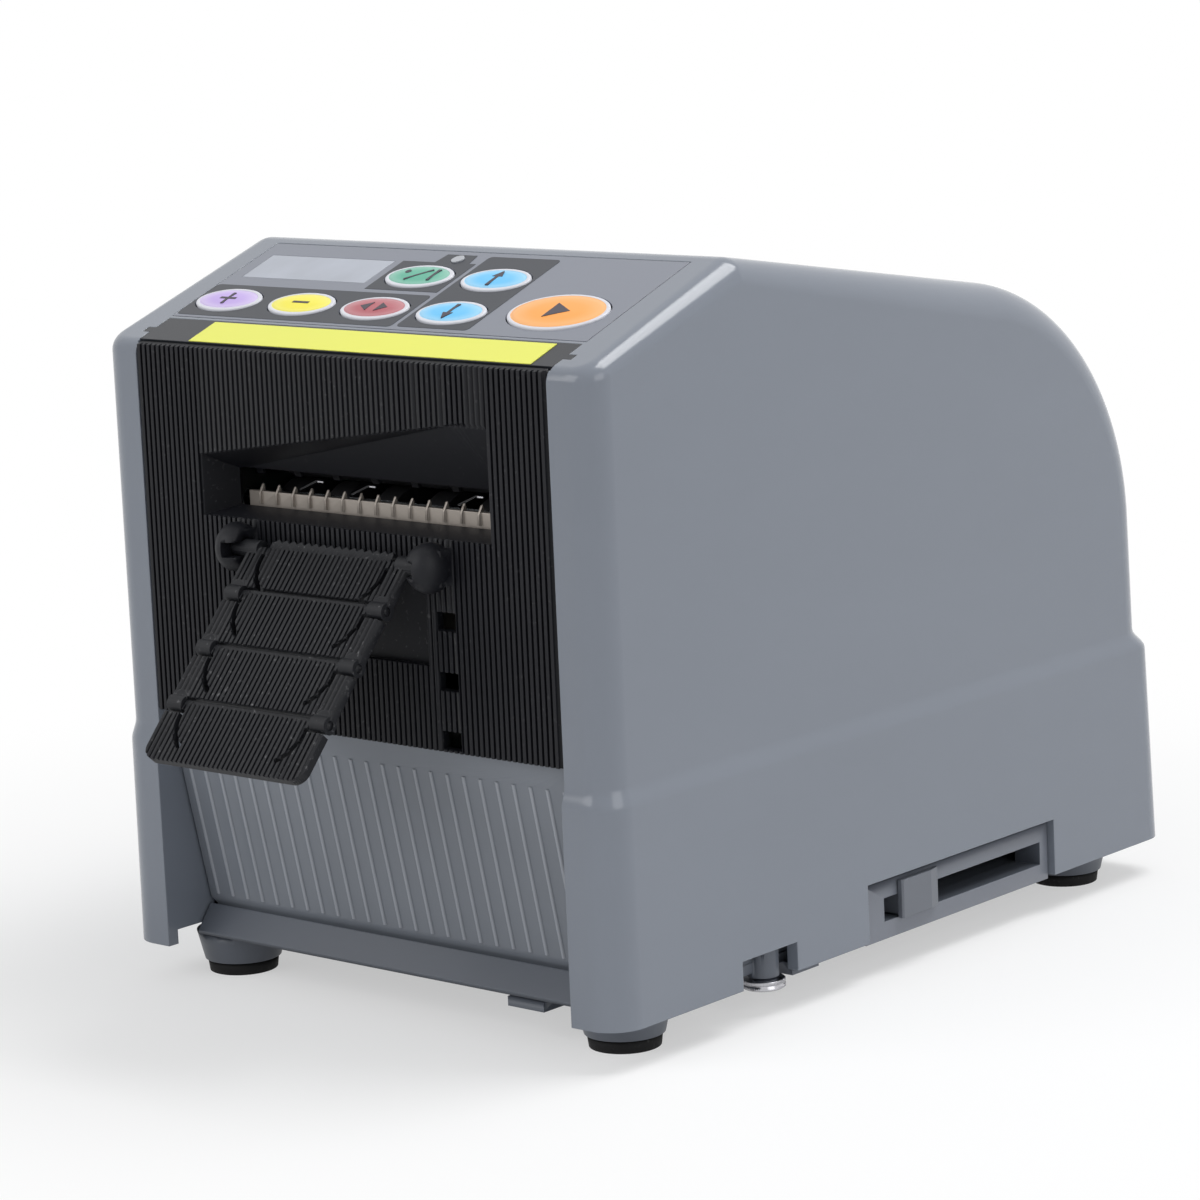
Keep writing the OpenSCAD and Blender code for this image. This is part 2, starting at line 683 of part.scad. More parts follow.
module switch_rocker() {
  color([0.08, 0.08, 0.085]) machine() union() {
    translate([0, rocker_y, rocker_z]) rotate([-8, 0, 0])
      slab([[-2.6, -6.4], [3.4, -7.1], [2.5, 0], [3.4, 7.1], [-2.6, 6.4]], -22.6, -11.4);
    rod(rocker_y, rocker_z, 1.6, -24.4, -9.6);
  }
}

module hinge_pins() {
  color(steel) machine() for (s = [-1, 1]) rod(hinge_y, hinge_z, 2, s * 41.4 - 5.2, s * 41.4 + 5.2);
}

module base_screws() {
  color(steel) machine() for (s = [-1, 1], y = [24, 42]) translate([s * 55, y, 14]) difference() {
    cylinder(r = 3, h = 2);
    translate([0, 0, 1]) box([-2.4, -0.4, 0], [2.4, 0.4, 3]);
  }
}

module side_slide() {
  color(grey) machine() union() {
    box([62.2, knob_y - 4, 12.7], [66, knob_y + 20, notch_z - 0.4]);
    box([65, knob_y + 1, 12.7], [74.5, knob_y + 13, 17.4]);
    translate([half_s, knob_y, 12.2]) linear_extrude(9)
      polygon([[-1.5, 0], [-0.4, 0], [0, 0.4], [0, 10.9], [-1, 14.7], [-1.5, 14.7]]);
  }
}

module thumb_screw() {
  color([0.8, 0.8, 0.8]) machine() translate([screw_x, screw_y, 5.7]) rotate_extrude()
    polygon([[0, 0], [4.6, 0], [4.9, 0.25], [4.9, 0.85], [4.6, 1.05], [4.6, 1.25], [4.9, 1.45],
             [4.9, 2.05], [4.6, 2.3], [1.7, 2.3], [1.7, 8], [0, 8]]);
}

// Places a link whose hinge lies the distance s along the chute
module on_chute(s) {
  machine() translate([0, pivot_y, pivot_z]) rotate([-chute_a, 0, 0]) translate([0, 0, -s]) children();
}

// Curved slot that frees a snap arm
module arc_slot(s) {
  translate([s * (link_w / 2 - 14), 5, -3.2]) rotate([90, 0, 0]) linear_extrude(10) intersection() {
    difference() { circle(r = 9.5); circle(r = 8.1); }
    polygon([[0, 0], [s * 12, 2], [s * 14, -6], [s * 8, -13]]);
  }
}

// Ribbed plate of a link between two heights
module ribbed_plate(z0, z1) {
  translate([0, -link_t / 2, z0]) linear_extrude(z1 - z0) polygon(rib_points(link_w, link_ribs, 0.5, link_t));
}

// Row of teeth along the upper edge of the first link
module toothed_edge(half, n) {
  translate([0, link_t / 2, 0]) rotate([90, 0, 0]) linear_extrude(link_t - 0.5)
    polygon(concat([[half, -0.5], [half, 1.7]],
      [for (i = [0:2 * n - 1]) [half - (i + 0.5) * half / n, i % 2 == 0 ? 2.6 : 1.8]],
      [[-half, 1.7], [-half, -0.5]]));
}

// One link, hinge at the origin and hanging along -Z; first and last differ at their ends
module link(len, first, last) {
  half = link_w / 2;
  lug = half - 4.4;
  foot = last ? len : len - 1.55;
  color(black) difference() {
    union() {
      difference() {
        ribbed_plate(-foot, 0);
        if (!first) for (s = [-1, 1])
          box([s * (half - 2) - 2.7, -5, -2.6], [s * (half - 2) + 2.7, 5, 1]);
      }
      if (first) {
        toothed_edge(18.4, 16);
        for (s = [-1, 1]) rod(0, 0, 2, s * 26.2 - 5.2, s * 26.2 + 5.2);
      } else {
        box([-lug + 0.3, -0.65, -0.5], [lug - 0.3, 0.65, 0.95]);
        for (s = [-1, 1]) rod(0, 0, 1, s * (half - 3.35) - 3.15, s * (half - 3.35) + 3.15);
      }
      if (!last) for (s = [-1, 1]) {
        mid = s * (half + lug) / 2;
        rod(0, -len, 2, mid - 2.2, mid + 2.2);
        box([mid - 2.2, -link_t / 2, -len], [mid + 2.2, link_t / 2, -len + 3]);
      }
    }
    if (!last) rod(0, -len, 1.05, -half - 1, half + 1);
    for (s = [-1, 1]) arc_slot(s);
    if (last) for (s = [-1, 1]) translate([s * half, 0, -len]) difference() {
      box([-3, -5, -1], [3, 5, 3]);
      translate([-s * 3, -6, 3]) rotate([-90, 0, 0]) cylinder(r = 3, h = 12);
    }
  }
}
module chute_link_1() { on_chute(0) link(first_link, true, false); }
module chute_link_2() { on_chute(first_link) link(link_pitch, false, false); }
module chute_link_3() { on_chute(first_link + link_pitch) link(link_pitch, false, false); }
module chute_link_4() { on_chute(first_link + 2 * link_pitch) link(link_pitch, false, true); }

base_tray();
lower_front_panel();
outlet_panel();
guide_comb();
finger_guide();
lower_blade();
frame_plate_left();
frame_plate_right();
cross_rods();
feed_motor();
cutter_motor();
reel_post_left();
reel_post_right();
reel_axle();
main_board();
power_inlet();
switch_frame();
hinge_pins();
foot_pads();
base_screws();
switch_rocker();
side_slide();
thumb_screw();
chute_link_1();
chute_link_2();
chute_link_3();
chute_link_4();
feed_shaft();
feed_rings();
feed_gear();
pinch_shaft();
pinch_sleeve();
feed_pinion();
blade_carrier();
upper_blade();
cutter_shaft();
cutter_gear();
cutter_pinion();
reel_core();
reel_flanges();
cover_shell();
cover_skirt();
deck_strip();
label_plate();
deck_overlay();
display_window();
display_module();
key_board();
status_lens();
key_plus();
key_minus();
key_select();
key_mode();
key_forward();
key_reverse();
key_start();
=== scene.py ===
"""Looks of a bench-top electric tape dispenser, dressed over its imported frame."""

import logging
import math
from collections.abc import Iterable, Sequence
from dataclasses import dataclass
from enum import Enum

import bmesh
import bpy
from mathutils import Matrix, Vector


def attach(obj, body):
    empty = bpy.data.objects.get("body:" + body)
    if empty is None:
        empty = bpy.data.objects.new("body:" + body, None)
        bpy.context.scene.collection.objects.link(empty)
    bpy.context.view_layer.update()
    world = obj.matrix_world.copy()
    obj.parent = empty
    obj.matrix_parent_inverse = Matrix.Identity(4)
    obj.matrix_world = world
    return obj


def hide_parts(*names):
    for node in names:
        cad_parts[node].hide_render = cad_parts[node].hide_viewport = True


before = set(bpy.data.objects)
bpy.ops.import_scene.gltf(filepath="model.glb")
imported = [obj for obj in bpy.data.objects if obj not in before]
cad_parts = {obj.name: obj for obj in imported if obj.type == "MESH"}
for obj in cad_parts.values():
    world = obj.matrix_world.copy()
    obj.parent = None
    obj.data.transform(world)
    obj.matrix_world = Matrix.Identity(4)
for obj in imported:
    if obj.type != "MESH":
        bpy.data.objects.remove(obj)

log = logging.getLogger("dispenser")

MM = 0.001
FRONT_Y = -83.68685
Colour = tuple[int, int, int]
Spot = tuple[float, float]
Point = tuple[float, float, float]
Loop = list[Vector]

DECK_A = math.radians(20.25)
DECK_Z = 150.2
OVERLAY_S = 13.5
LAMP = (-1.9, 33.3)

# Frames in millimetres: the machine from its front face, the deck from its front edge, the overlay
# from its own, and loose shapes from the origin.
MACHINE = Matrix.Translation((0, FRONT_Y * MM, 0)) @ Matrix.Scale(MM, 4)
DECK = MACHINE @ Matrix.Translation((0, 0, DECK_Z)) @ Matrix.Rotation(DECK_A, 4, "X")
OVERLAY = DECK @ Matrix.Translation((0, OVERLAY_S, 0))
LOOSE = Matrix.Scale(MM, 4)


def linear(colour: Colour, lift: float = 1.0) -> tuple[float, float, float, float]:
    """Turns an 8-bit display colour into the linear one that shaders take.

    Args:
        colour: red, green and blue from 0 to 255.
        lift: factor on the display value, to make a lighter or darker tone.

    Returns:
        Linear red, green, blue and an alpha of 1.
    """
    tones = [min(1.0, c / 255 * lift) for c in colour]
    flat = [t / 12.92 if t <= 0.04045 else ((t + 0.055) / 1.055) ** 2.4 for t in tones]
    return (*flat, 1.0)


class Wiring:
    """Adds and joins nodes in one node tree."""

    def __init__(self, tree: bpy.types.NodeTree) -> None:
        """Keeps the tree that nodes are added to."""
        self.tree = tree

    def add(self, kind: str, **values: object) -> bpy.types.Node:
        """Adds a node.

        Args:
            kind: the node's type name.
            values: properties of the node, or input values with _ for a space.

        Returns:
            The new node.
        """
        node = self.tree.nodes.new(kind)
        for name, value in values.items():
            if hasattr(node, name):
                setattr(node, name, value)
            else:
                node.inputs[name.replace("_", " ")].default_value = value
        return node

    def join(self, source: bpy.types.NodeSocket, target: bpy.types.NodeSocket) -> None:
        """Links an output to an input."""
        self.tree.links.new(source, target)

    def math(self, kind: str, *terms: object, clamp: bool = False) -> bpy.types.NodeSocket:
        """Adds a Math node.

        Args:
            kind: the operation.
            terms: sockets or numbers, in order.
            clamp: keep the result from 0 to 1.

        Returns:
            The result's socket.
        """
        node = self.add("ShaderNodeMath", operation=kind, use_clamp=clamp)
        for slot, term in zip(node.inputs, terms):
            if isinstance(term, (int, float)):
                slot.default_value = term
            else:
                self.join(term, slot)
        return node.outputs[0]

    def mix(self, share: object, first: object, second: object) -> bpy.types.NodeSocket:
        """Adds a colour mix.

        Args:
            share: socket or number, 0 for the first colour.
            first: socket or colour.
            second: socket or colour.

        Returns:
            The mixed colour's socket.
        """
        node = self.add("ShaderNodeMix", data_type="RGBA")
        for slot, term in zip((node.inputs[0], node.inputs[6], node.inputs[7]), (share, first, second)):
            if isinstance(term, bpy.types.NodeSocket):
                self.join(term, slot)
            else:
                slot.default_value = term
        return node.outputs[2]


class Effect(Enum):
    """Shader groups that several finishes share."""

    SOFT_EDGE = "soft_edge"
    MOULD_GRAIN = "mould_grain"
    FLOW = "flow_mottle"
    SPECKS = "dust_specks"
    BRUSHED = "brushed_lines"


class EffectShelf:
    """Builds each shared shader group once."""

    def __init__(self) -> None:
        """Starts with no groups made."""
        self.made: dict[Effect, bpy.types.NodeTree] = {}

    def get(self, effect: Effect) -> bpy.types.NodeTree:
        """Looks an effect's group up and makes it on first use.

        Args:
            effect: the effect.

        Returns:
            Its shader group.
        """
        if effect not in self.made:
            self.made[effect] = getattr(self, effect.value)()
        return self.made[effect]

    def start(self, name: str, inputs: dict[str, float], outputs: Sequence[str]) -> tuple[Wiring, dict]:
        """Opens a group with named sockets.

        Args:
            name: the group's name.
            inputs: float inputs with their defaults.
            outputs: output names; Normal is a vector and the rest are floats.

        Returns:
            The wiring, and the ends by name: inputs as sources, outputs as targets.
        """
        tree = bpy.data.node_groups.new(name, "ShaderNodeTree")
        for label, value in inputs.items():
            socket = tree.interface.new_socket(label, in_out="INPUT", socket_type="NodeSocketFloat")
            socket.default_value = value
        for label in outputs:
            kind = "NodeSocketVector" if label == "Normal" else "NodeSocketFloat"
            tree.interface.new_socket(label, in_out="OUTPUT", socket_type=kind)
        wires = Wiring(tree)
        source, target = wires.add("NodeGroupInput"), wires.add("NodeGroupOutput")
        ends = {label: source.outputs[label] for label in inputs}
        ends.update({label: target.inputs[label] for label in outputs})
        return wires, ends

    def noise(self, wires: Wiring, scale: object, detail: float,
              stretch: Sequence[float] = (1, 1, 1)) -> bpy.types.NodeSocket:
        """Adds noise on object coordinates.

        Args:
            wires: the tree's wiring.
            scale: socket or number, per metre.
            detail: octaves.
            stretch: factor on each axis.

        Returns:
            The noise value's socket.
        """
        place = wires.add("ShaderNodeTexCoord").outputs["Object"]
        pull = wires.add("ShaderNodeVectorMath", operation="MULTIPLY")
        pull.inputs[1].default_value = stretch
        wires.join(place, pull.inputs[0])
        cloud = wires.add("ShaderNodeTexNoise", Detail=detail, Roughness=0.55)
        wires.join(pull.outputs[0], cloud.inputs["Vector"])
        if isinstance(scale, (int, float)):
            cloud.inputs["Scale"].default_value = scale
        else:
            wires.join(scale, cloud.inputs["Scale"])
        return cloud.outputs["Fac"]

    def soft_edge(self) -> bpy.types.NodeTree:
        """Rounds sharp edges in the shading, and gives a mask of them that finishes use for a painted edge
        highlight.

        Returns:
            The shader group.
        """
        wires, ends = self.start("soft_edge", {"Radius": 0.0003}, ("Normal", "Edge"))
        bevel = wires.add("ShaderNodeBevel", samples=6)
        wires.join(ends["Radius"], bevel.inputs["Radius"])
        facing = wires.add("ShaderNodeNewGeometry")
        dot = wires.add("ShaderNodeVectorMath", operation="DOT_PRODUCT")
        wires.join(bevel.outputs["Normal"], dot.inputs[0])
        wires.join(facing.outputs["Normal"], dot.inputs[1])
        bent = wires.math("SUBTRACT", 1.0, dot.outputs["Value"])
        wires.join(wires.math("MULTIPLY", bent, 4.0, clamp=True), ends["Edge"])
        wires.join(bevel.outputs["Normal"], ends["Normal"])
        return wires.tree

    def mould_grain(self) -> bpy.types.NodeTree:
        """Fine skin of a moulding, as a height.

        Returns:
            The shader group.
        """
        wires, ends = self.start("mould_grain", {"Scale": 1800.0}, ("Height",))
        wires.join(self.noise(wires, ends["Scale"], 3.0), ends["Height"])
        return wires.tree

    def flow_mottle(self) -> bpy.types.NodeTree:
        """Slow drift of tone where the melt cooled unevenly, around 0.5.

        Returns:
            The shader group.
        """
        wires, ends = self.start("flow_mottle", {"Scale": 22.0}, ("Tone",))
        wires.join(self.noise(wires, ends["Scale"], 4.0, (1, 0.6, 1.4)), ends["Tone"])
        return wires.tree

    def dust_specks(self) -> bpy.types.NodeTree:
        """Pale specks that settle on faces that look up or out.

        Returns:
            The shader group.
        """
        wires, ends = self.start("dust_specks", {"Scale": 900.0, "Amount": 0.5}, ("Mask",))
        fine = self.noise(wires, ends["Scale"], 2.0)
        broad = self.noise(wires, 60.0, 2.0)
        speck = wires.math("MULTIPLY", wires.math("SUBTRACT", fine, 0.63), 9.0, clamp=True)
        patch = wires.math("MULTIPLY", wires.math("SUBTRACT", broad, 0.35), 2.5, clamp=True)
        split = wires.add("ShaderNodeSeparateXYZ")
        wires.join(wires.add("ShaderNodeNewGeometry").outputs["Normal"], split.inputs[0])
        upward = wires.math("MULTIPLY_ADD", split.outputs["Z"], 0.5, 0.6, clamp=True)
        mask = wires.math("MULTIPLY", wires.math("MULTIPLY", speck, patch), upward)
        wires.join(wires.math("MULTIPLY", mask, ends["Amount"], clamp=True), ends["Mask"])
        return wires.tree

    def brushed_lines(self) -> bpy.types.NodeTree:
        """Fine parallel lines along X, as left by rolling and brushing.

        Returns:
            The shader group.
        """
        wires, ends = self.start("brushed_lines", {"Scale": 2600.0}, ("Height",))
        wires.join(self.noise(wires, ends["Scale"], 2.0, (0.02, 1, 1)), ends["Height"])
        return wires.tree


EFFECTS = EffectShelf()
DUST = (150, 150, 152)
DUST_ROUGHNESS = 0.3
COAT_ROUGHNESS = 0.08
# Share of the painted edge highlight in the colour at edges.
EDGE_HIGHLIGHT_SHARE = 0.6
PALE_OWN = 0.45
PALE_WHITE = 0.55 * 240


@dataclass(frozen=True)
class Finish:
    """Surface of one moulding, film or metal.

    Colours are display values; lengths are metres.
    """

    name: str
    colour: Colour
    roughness: float
    metallic: float = 0.0
    specular: float = 0.5
    coat: float = 0.0
    edge_radius: float = 0.0003
    # edge_lift: factor on the colour at edges, painted as an edge highlight where above one and as edge shade
    # where below.
    edge_lift: float = 1.12
    drift: float = 0.05
    drift_scale: float = 22.0
    rough_drift: float = 0.06
    grain_scale: float = 1800.0
    grain: float = 0.03
    brushed: float = 0.0
    dust: float = 0.0
    fade: float = 0.0

    def pale(self) -> Colour:
        """Returns the colour washed out towards white."""
        return tuple(round(PALE_OWN * c + PALE_WHITE) for c in self.colour)

    def effect(self, wires: Wiring, effect: Effect, **values: float) -> bpy.types.Node:
        """Places a shared group in a material with its own values.

        Args:
            wires: the material's wiring.
            effect: the effect.
            values: input values by name.

        Returns:
            The group's node.
        """
        node = wires.add("ShaderNodeGroup", node_tree=EFFECTS.get(effect))
        for name, value in values.items():
            node.inputs[name].default_value = value
        return node

    def make(self) -> bpy.types.Material:
        """Builds the material.

        Returns:
            A node material named after the finish.
        """
        material = bpy.data.materials.new(self.name)
        material.use_nodes = True
        material.diffuse_color = linear(self.colour)
        wires = Wiring(material.node_tree)
        shader = material.node_tree.nodes["Principled BSDF"]
        shader.inputs["Metallic"].default_value = self.metallic
        shader.inputs["Specular IOR Level"].default_value = self.specular
        shader.inputs["Coat Weight"].default_value = self.coat
        shader.inputs["Coat Roughness"].default_value = COAT_ROUGHNESS
        tone = self.effect(wires, Effect.FLOW, Scale=self.drift_scale).outputs["Tone"]
        base = wires.mix(tone, linear(self.colour, 1 - self.drift), linear(self.colour, 1 + self.drift))
        if self.fade:
            rim = wires.add("ShaderNodeAttribute", attribute_name="fade").outputs["Fac"]
            base = wires.mix(wires.math("MULTIPLY", rim, self.fade), base, linear(self.pale()))
        edge = self.effect(wires, Effect.SOFT_EDGE, Radius=self.edge_radius)
        # Painted edge highlight: edges take the colour times edge_lift, lighter above one and painted shade
        # below one.
        edge_highlight = wires.math("MULTIPLY", edge.outputs["Edge"], EDGE_HIGHLIGHT_SHARE)
        base = wires.mix(edge_highlight, base, linear(self.colour, self.edge_lift))
        least = self.roughness - self.rough_drift
        rough = wires.math("MULTIPLY_ADD", tone, 2 * self.rough_drift, least, clamp=True)
        if self.dust:
            specks = self.effect(wires, Effect.SPECKS, Amount=self.dust).outputs["Mask"]
            base = wires.mix(specks, base, linear(DUST))
            rough = wires.math("MULTIPLY_ADD", specks, DUST_ROUGHNESS, rough, clamp=True)
        wires.join(base, shader.inputs["Base Color"])
        wires.join(rough, shader.inputs["Roughness"])
        bump = wires.add("ShaderNodeBump", Strength=1.0)
        if self.brushed:
            bump.inputs["Distance"].default_value = self.brushed * MM
            height = self.effect(wires, Effect.BRUSHED).outputs["Height"]
        else:
            bump.inputs["Distance"].default_value = self.grain * MM
            height = self.effect(wires, Effect.MOULD_GRAIN, Scale=self.grain_scale).outputs["Height"]
        wires.join(height, bump.inputs["Height"])
        wires.join(edge.outputs["Normal"], bump.inputs["Normal"])
        wires.join(bump.outputs["Normal"], shader.inputs["Normal"])
        return material


class Palette:
    """Finishes of the machine, each made into a material once."""

    HOUSING = Finish("housing_gloss", (121, 127, 137), 0.17, edge_radius=0.0004, grain_scale=420,
                     grain=0.004, drift=0.02, rough_drift=0.03)
    PANEL = Finish("lower_panel_satin", (116, 121, 129), 0.4, edge_radius=0.00025, edge_lift=1.3, grain=0.01)
    # Painted highlight: the raised panel lines share the panel's colour, and this lighter tone stands in for
    # light caught on them.
    LINE_HIGHLIGHT = Finish("panel_line_satin", (150, 154, 162), 0.36, edge_radius=0.0001, edge_lift=1.1, grain=0.008)
    BASE = Finish("base_satin", (88, 93, 102), 0.42, edge_lift=1.25, grain=0.012)
    SIDE_PLATE = Finish("side_plate_satin", (114, 118, 127), 0.36, edge_radius=0.00025, edge_lift=1.2,
                        grain=0.01)
    SLIDE = Finish("slide_satin", (100, 104, 112), 0.36, edge_radius=0.00025, edge_lift=1.25, grain=0.01)
    RIBBED = Finish("ribbed_black", (19, 20, 25), 0.5, specular=0.25, edge_radius=0.00022, edge_lift=1.7,
                    grain=0.02, dust=0.3)
    CHUTE = Finish("chute_black", (24, 25, 29), 0.55, specular=0.28, edge_radius=0.0002, edge_lift=1.7,
                   grain=0.03, dust=0.7)
    RECESS = Finish("switch_black", (21, 22, 26), 0.4, specular=0.35, grain=0.015)
    COMB = Finish("comb_satin_metal", (166, 158, 150), 0.45, metallic=0.55, brushed=0.008, drift=0.06,
                  edge_lift=0.7)
    STEEL = Finish("zinc_plate", (188, 190, 194), 0.32, metallic=1.0, brushed=0.008)
    BLADE = Finish("ground_steel", (205, 207, 210), 0.2, metallic=1.0, brushed=0.012)
    CHROME = Finish("bright_plate", (182, 182, 186), 0.16, metallic=1.0, grain=0.004, drift=0.02)
    MOTOR = Finish("motor_can", (120, 122, 127), 0.38, metallic=0.9, grain=0.01)
    NYLON = Finish("natural_nylon", (226, 225, 214), 0.45, grain=0.01)
    BRASS = Finish("cut_brass", (196, 170, 104), 0.28, metallic=1.0, grain=0.006)
    RUBBER = Finish("foot_rubber", (22, 22, 23), 0.75, specular=0.25, grain=0.04, dust=0.3)
    ROLLER = Finish("roller_rubber", (48, 48, 51), 0.62, grain=0.03)
    REEL = Finish("reel_green", (58, 132, 100), 0.38, grain=0.012)
    BOARD = Finish("board_green", (24, 84, 52), 0.35, coat=0.4, grain=0.008, grain_scale=5200)
    CHIP = Finish("chip_black", (26, 27, 29), 0.5, grain=0.01)
    OVERLAY = Finish("overlay_film", (119, 123, 134), 0.34, edge_radius=0.0002, grain=0.006,
                     grain_scale=5200, drift=0.02)
    PRINT = Finish("dark_print", (50, 53, 60), 0.36, specular=0.3, edge_radius=0.00005, grain=0.006,
                   grain_scale=5200, drift=0.03)
    STRIP = Finish("strip_film", (40, 42, 47), 0.36, specular=0.3, edge_radius=0.0002, grain=0.008,
                   grain_scale=5200)
    LABEL = Finish("yellow_film", (226, 228, 92), 0.4, edge_radius=0.00005, grain=0.006, grain_scale=5200,
                   drift=0.015)
    WINDOW = Finish("display_film", (158, 163, 174), 0.3, coat=0.2, edge_radius=0.0002, grain=0.008,
                    grain_scale=300, drift=0.12, drift_scale=60)
    LENS = Finish("lamp_lens", (165, 168, 174), 0.25, edge_radius=0.0003, grain=0.004)
    RIM = Finish("key_rim_white", (212, 213, 220), 0.38, edge_radius=0.0002, grain=0.004, drift=0.02)
    INK = Finish("mark_ink", (58, 52, 62), 0.5, edge_radius=0.00003, grain=0.004)
    WHITE_INK = Finish("white_ink", (225, 226, 228), 0.5, edge_radius=0.00003, grain=0.004)
    LILAC = Finish("key_lilac", (190, 165, 226), 0.36, grain=0.004, drift=0.03, fade=0.6)
    YELLOW = Finish("key_yellow", (240, 228, 66), 0.36, grain=0.004, drift=0.03, fade=0.3)
    RED = Finish("key_red", (172, 84, 94), 0.36, grain=0.004, drift=0.03, fade=0.35)
    GREEN = Finish("key_green", (84, 168, 142), 0.36, grain=0.004, drift=0.03, fade=0.45)
    BLUE = Finish("key_blue", (100, 190, 238), 0.36, grain=0.004, drift=0.03, fade=0.6)
    ORANGE = Finish("key_orange", (250, 162, 66), 0.36, grain=0.004, drift=0.03, fade=0.35)

    def __init__(self) -> None:
        """Starts with nothing mixed."""
        self.mixed: dict[str, bpy.types.Material] = {}

    def get(self, finish: Finish) -> bpy.types.Material:
        """Looks a finish's material up and makes it on first use.

        Args:
            finish: the finish.

        Returns:
            Its material.
        """
        if finish.name not in self.mixed:
            self.mixed[finish.name] = finish.make()
        return self.mixed[finish.name]


PALETTE = Palette()


class Sketch:
    """Collects closed shapes in millimetres and turns them into one mesh."""

    def __init__(self, place: Matrix = MACHINE) -> None:
        """Opens an empty sketch whose millimetres are set down with a matrix."""
        self.place = place
        self.bm = bmesh.new()

    def face(self, points: Iterable[Sequence[float]]) -> bmesh.types.BMFace:
        """Adds one face with vertices of its own."""
        return self.bm.faces.new([self.bm.verts.new(p) for p in points])

    def loft(self, loops: Sequence[Sequence[Sequence[float]]], closed: bool = True,
             caps: bool = True) -> None:
        """Joins loops of equal length with quads.

        Args:
            loops: point loops, in order.
            closed: each loop returns to its first point.
            caps: fill the first and last loop.
        """
        rows = [[self.bm.verts.new(p) for p in loop] for loop in loops]
        count = len(rows[0])
        for low, high in zip(rows, rows[1:]):
            for i in range(count if closed else count - 1):
                j = (i + 1) % count
                self.bm.faces.new((low[i], low[j], high[j], high[i]))
        if caps:
            self.bm.faces.new(rows[0][::-1])
            self.bm.faces.new(rows[-1])

    def box(self, low: Sequence[float], high: Sequence[float]) -> None:
        """Adds a box.

        Args:
            low: its corner with the smallest values.
            high: its corner with the largest values.
        """
        (x0, y0, z0), (x1, y1, z1) = low, high
        ring = ((x0, y0), (x1, y0), (x1, y1), (x0, y1))
        self.loft([[(x, y, z) for x, y in ring] for z in (z0, z1)])

    def prism(self, outline: Sequence[Spot], low: float, high: float, axis: str = "z") -> None:
        """Pushes a flat outline along an axis.

        Args:
            outline: corners on the other two axes, in their order.
            low: start on the axis.
            high: end on the axis.
            axis: x, y or z.
        """
        turn = {
            "x": lambda p, h: (h, p[0], p[1]),
            "y": lambda p, h: (p[0], h, p[1]),
            "z": lambda p, h: (p[0], p[1], h),
        }[axis]
        self.loft([[turn(p, h) for p in outline] for h in (low, high)])

    def mesh(self, name: str, smooth: float = 0.0) -> bpy.types.Object:
        """Closes the sketch.

        Args:
            name: the object's name.
            smooth: edges bent less than this many degrees shade smoothly.

        Returns:
            An object at the origin with its place in the mesh.
        """
        bmesh.ops.transform(self.bm, matrix=self.place, verts=self.bm.verts)
        bmesh.ops.remove_doubles(self.bm, verts=self.bm.verts, dist=2e-7)
        bmesh.ops.recalc_face_normals(self.bm, faces=self.bm.faces)
        data = bpy.data.meshes.new(name)
        self.bm.to_mesh(data)
        self.bm.free()
        if smooth:
            data.shade_smooth()
            data.set_sharp_from_angle(angle=math.radians(smooth))
        obj = bpy.data.objects.new(name, data)
        bpy.context.collection.objects.link(obj)
        return obj


def oval(rx: float, ry: float, count: int = 48, centre: Spot = (0, 0)) -> list[Spot]:
    """Returns the points of an ellipse."""
    turns = [2 * math.pi * i / count for i in range(count)]
    return [(centre[0] + rx * math.cos(t), centre[1] + ry * math.sin(t)) for t in turns]


def rounded(x0: float, y0: float, x1: float, y1: float, r: float, steps: int = 5) -> list[Spot]:
    """Returns the points of a rectangle with round corners.

    Args:
        x0: left side.
        y0: lower side.
        x1: right side.
        y1: upper side.
        r: corner radius.
        steps: segments in each corner.

    Returns:
        Corner points, counter-clockwise.
    """
    points = []
    corners = ((x1 - r, y1 - r), (x0 + r, y1 - r), (x0 + r, y0 + r), (x1 - r, y0 + r))
    for quarter, (cx, cy) in enumerate(corners):
        for i in range(steps + 1):
            t = math.radians(90 * quarter + 90 * i / steps)
            points.append((cx + r * math.cos(t), cy + r * math.sin(t)))
    return points


def doubled(half: Sequence[Spot]) -> list[Spot]:
    """Returns the right half of an outline together with its mirror image."""
    return [*half, *((-x, y) for x, y in reversed(half))]


def shifted(outline: Sequence[Spot], dx: float, dy: float, turn: float = 0.0) -> list[Spot]:
    """Returns an outline turned about its origin and then moved."""
    c, s = math.cos(turn), math.sin(turn)
    return [(dx + c * x - s * y, dy + s * x + c * y) for x, y in outline]


def settle(obj: bpy.types.Object) -> bpy.types.Object:
    """Bakes an object's modifiers into its mesh.

    Args:
        obj: the object; its modifiers are removed.

    Returns:
        The same object with a plain mesh.
    """
    graph = bpy.context.evaluated_depsgraph_get()
    baked = obj.evaluated_get(graph)
    data = bpy.data.meshes.new_from_object(baked, preserve_all_data_layers=True, depsgraph=graph)
    obj.modifiers.clear()
    obj.data = data
    data.name = obj.name
    return obj


def carve(obj: bpy.types.Object, tool: bpy.types.Object, kind: str = "DIFFERENCE") -> bpy.types.Object:
    """Cuts one solid from another or joins them, and throws the tool away.

    Args:
        obj: the solid that stays.
        tool: the other solid.
        kind: DIFFERENCE or UNION.

    Returns:
        The changed solid.
    """
    step = obj.modifiers.new("carve", "BOOLEAN")
    step.operation, step.solver, step.object = kind, "EXACT", tool
    settle(obj)
    bpy.data.objects.remove(tool)
    return obj


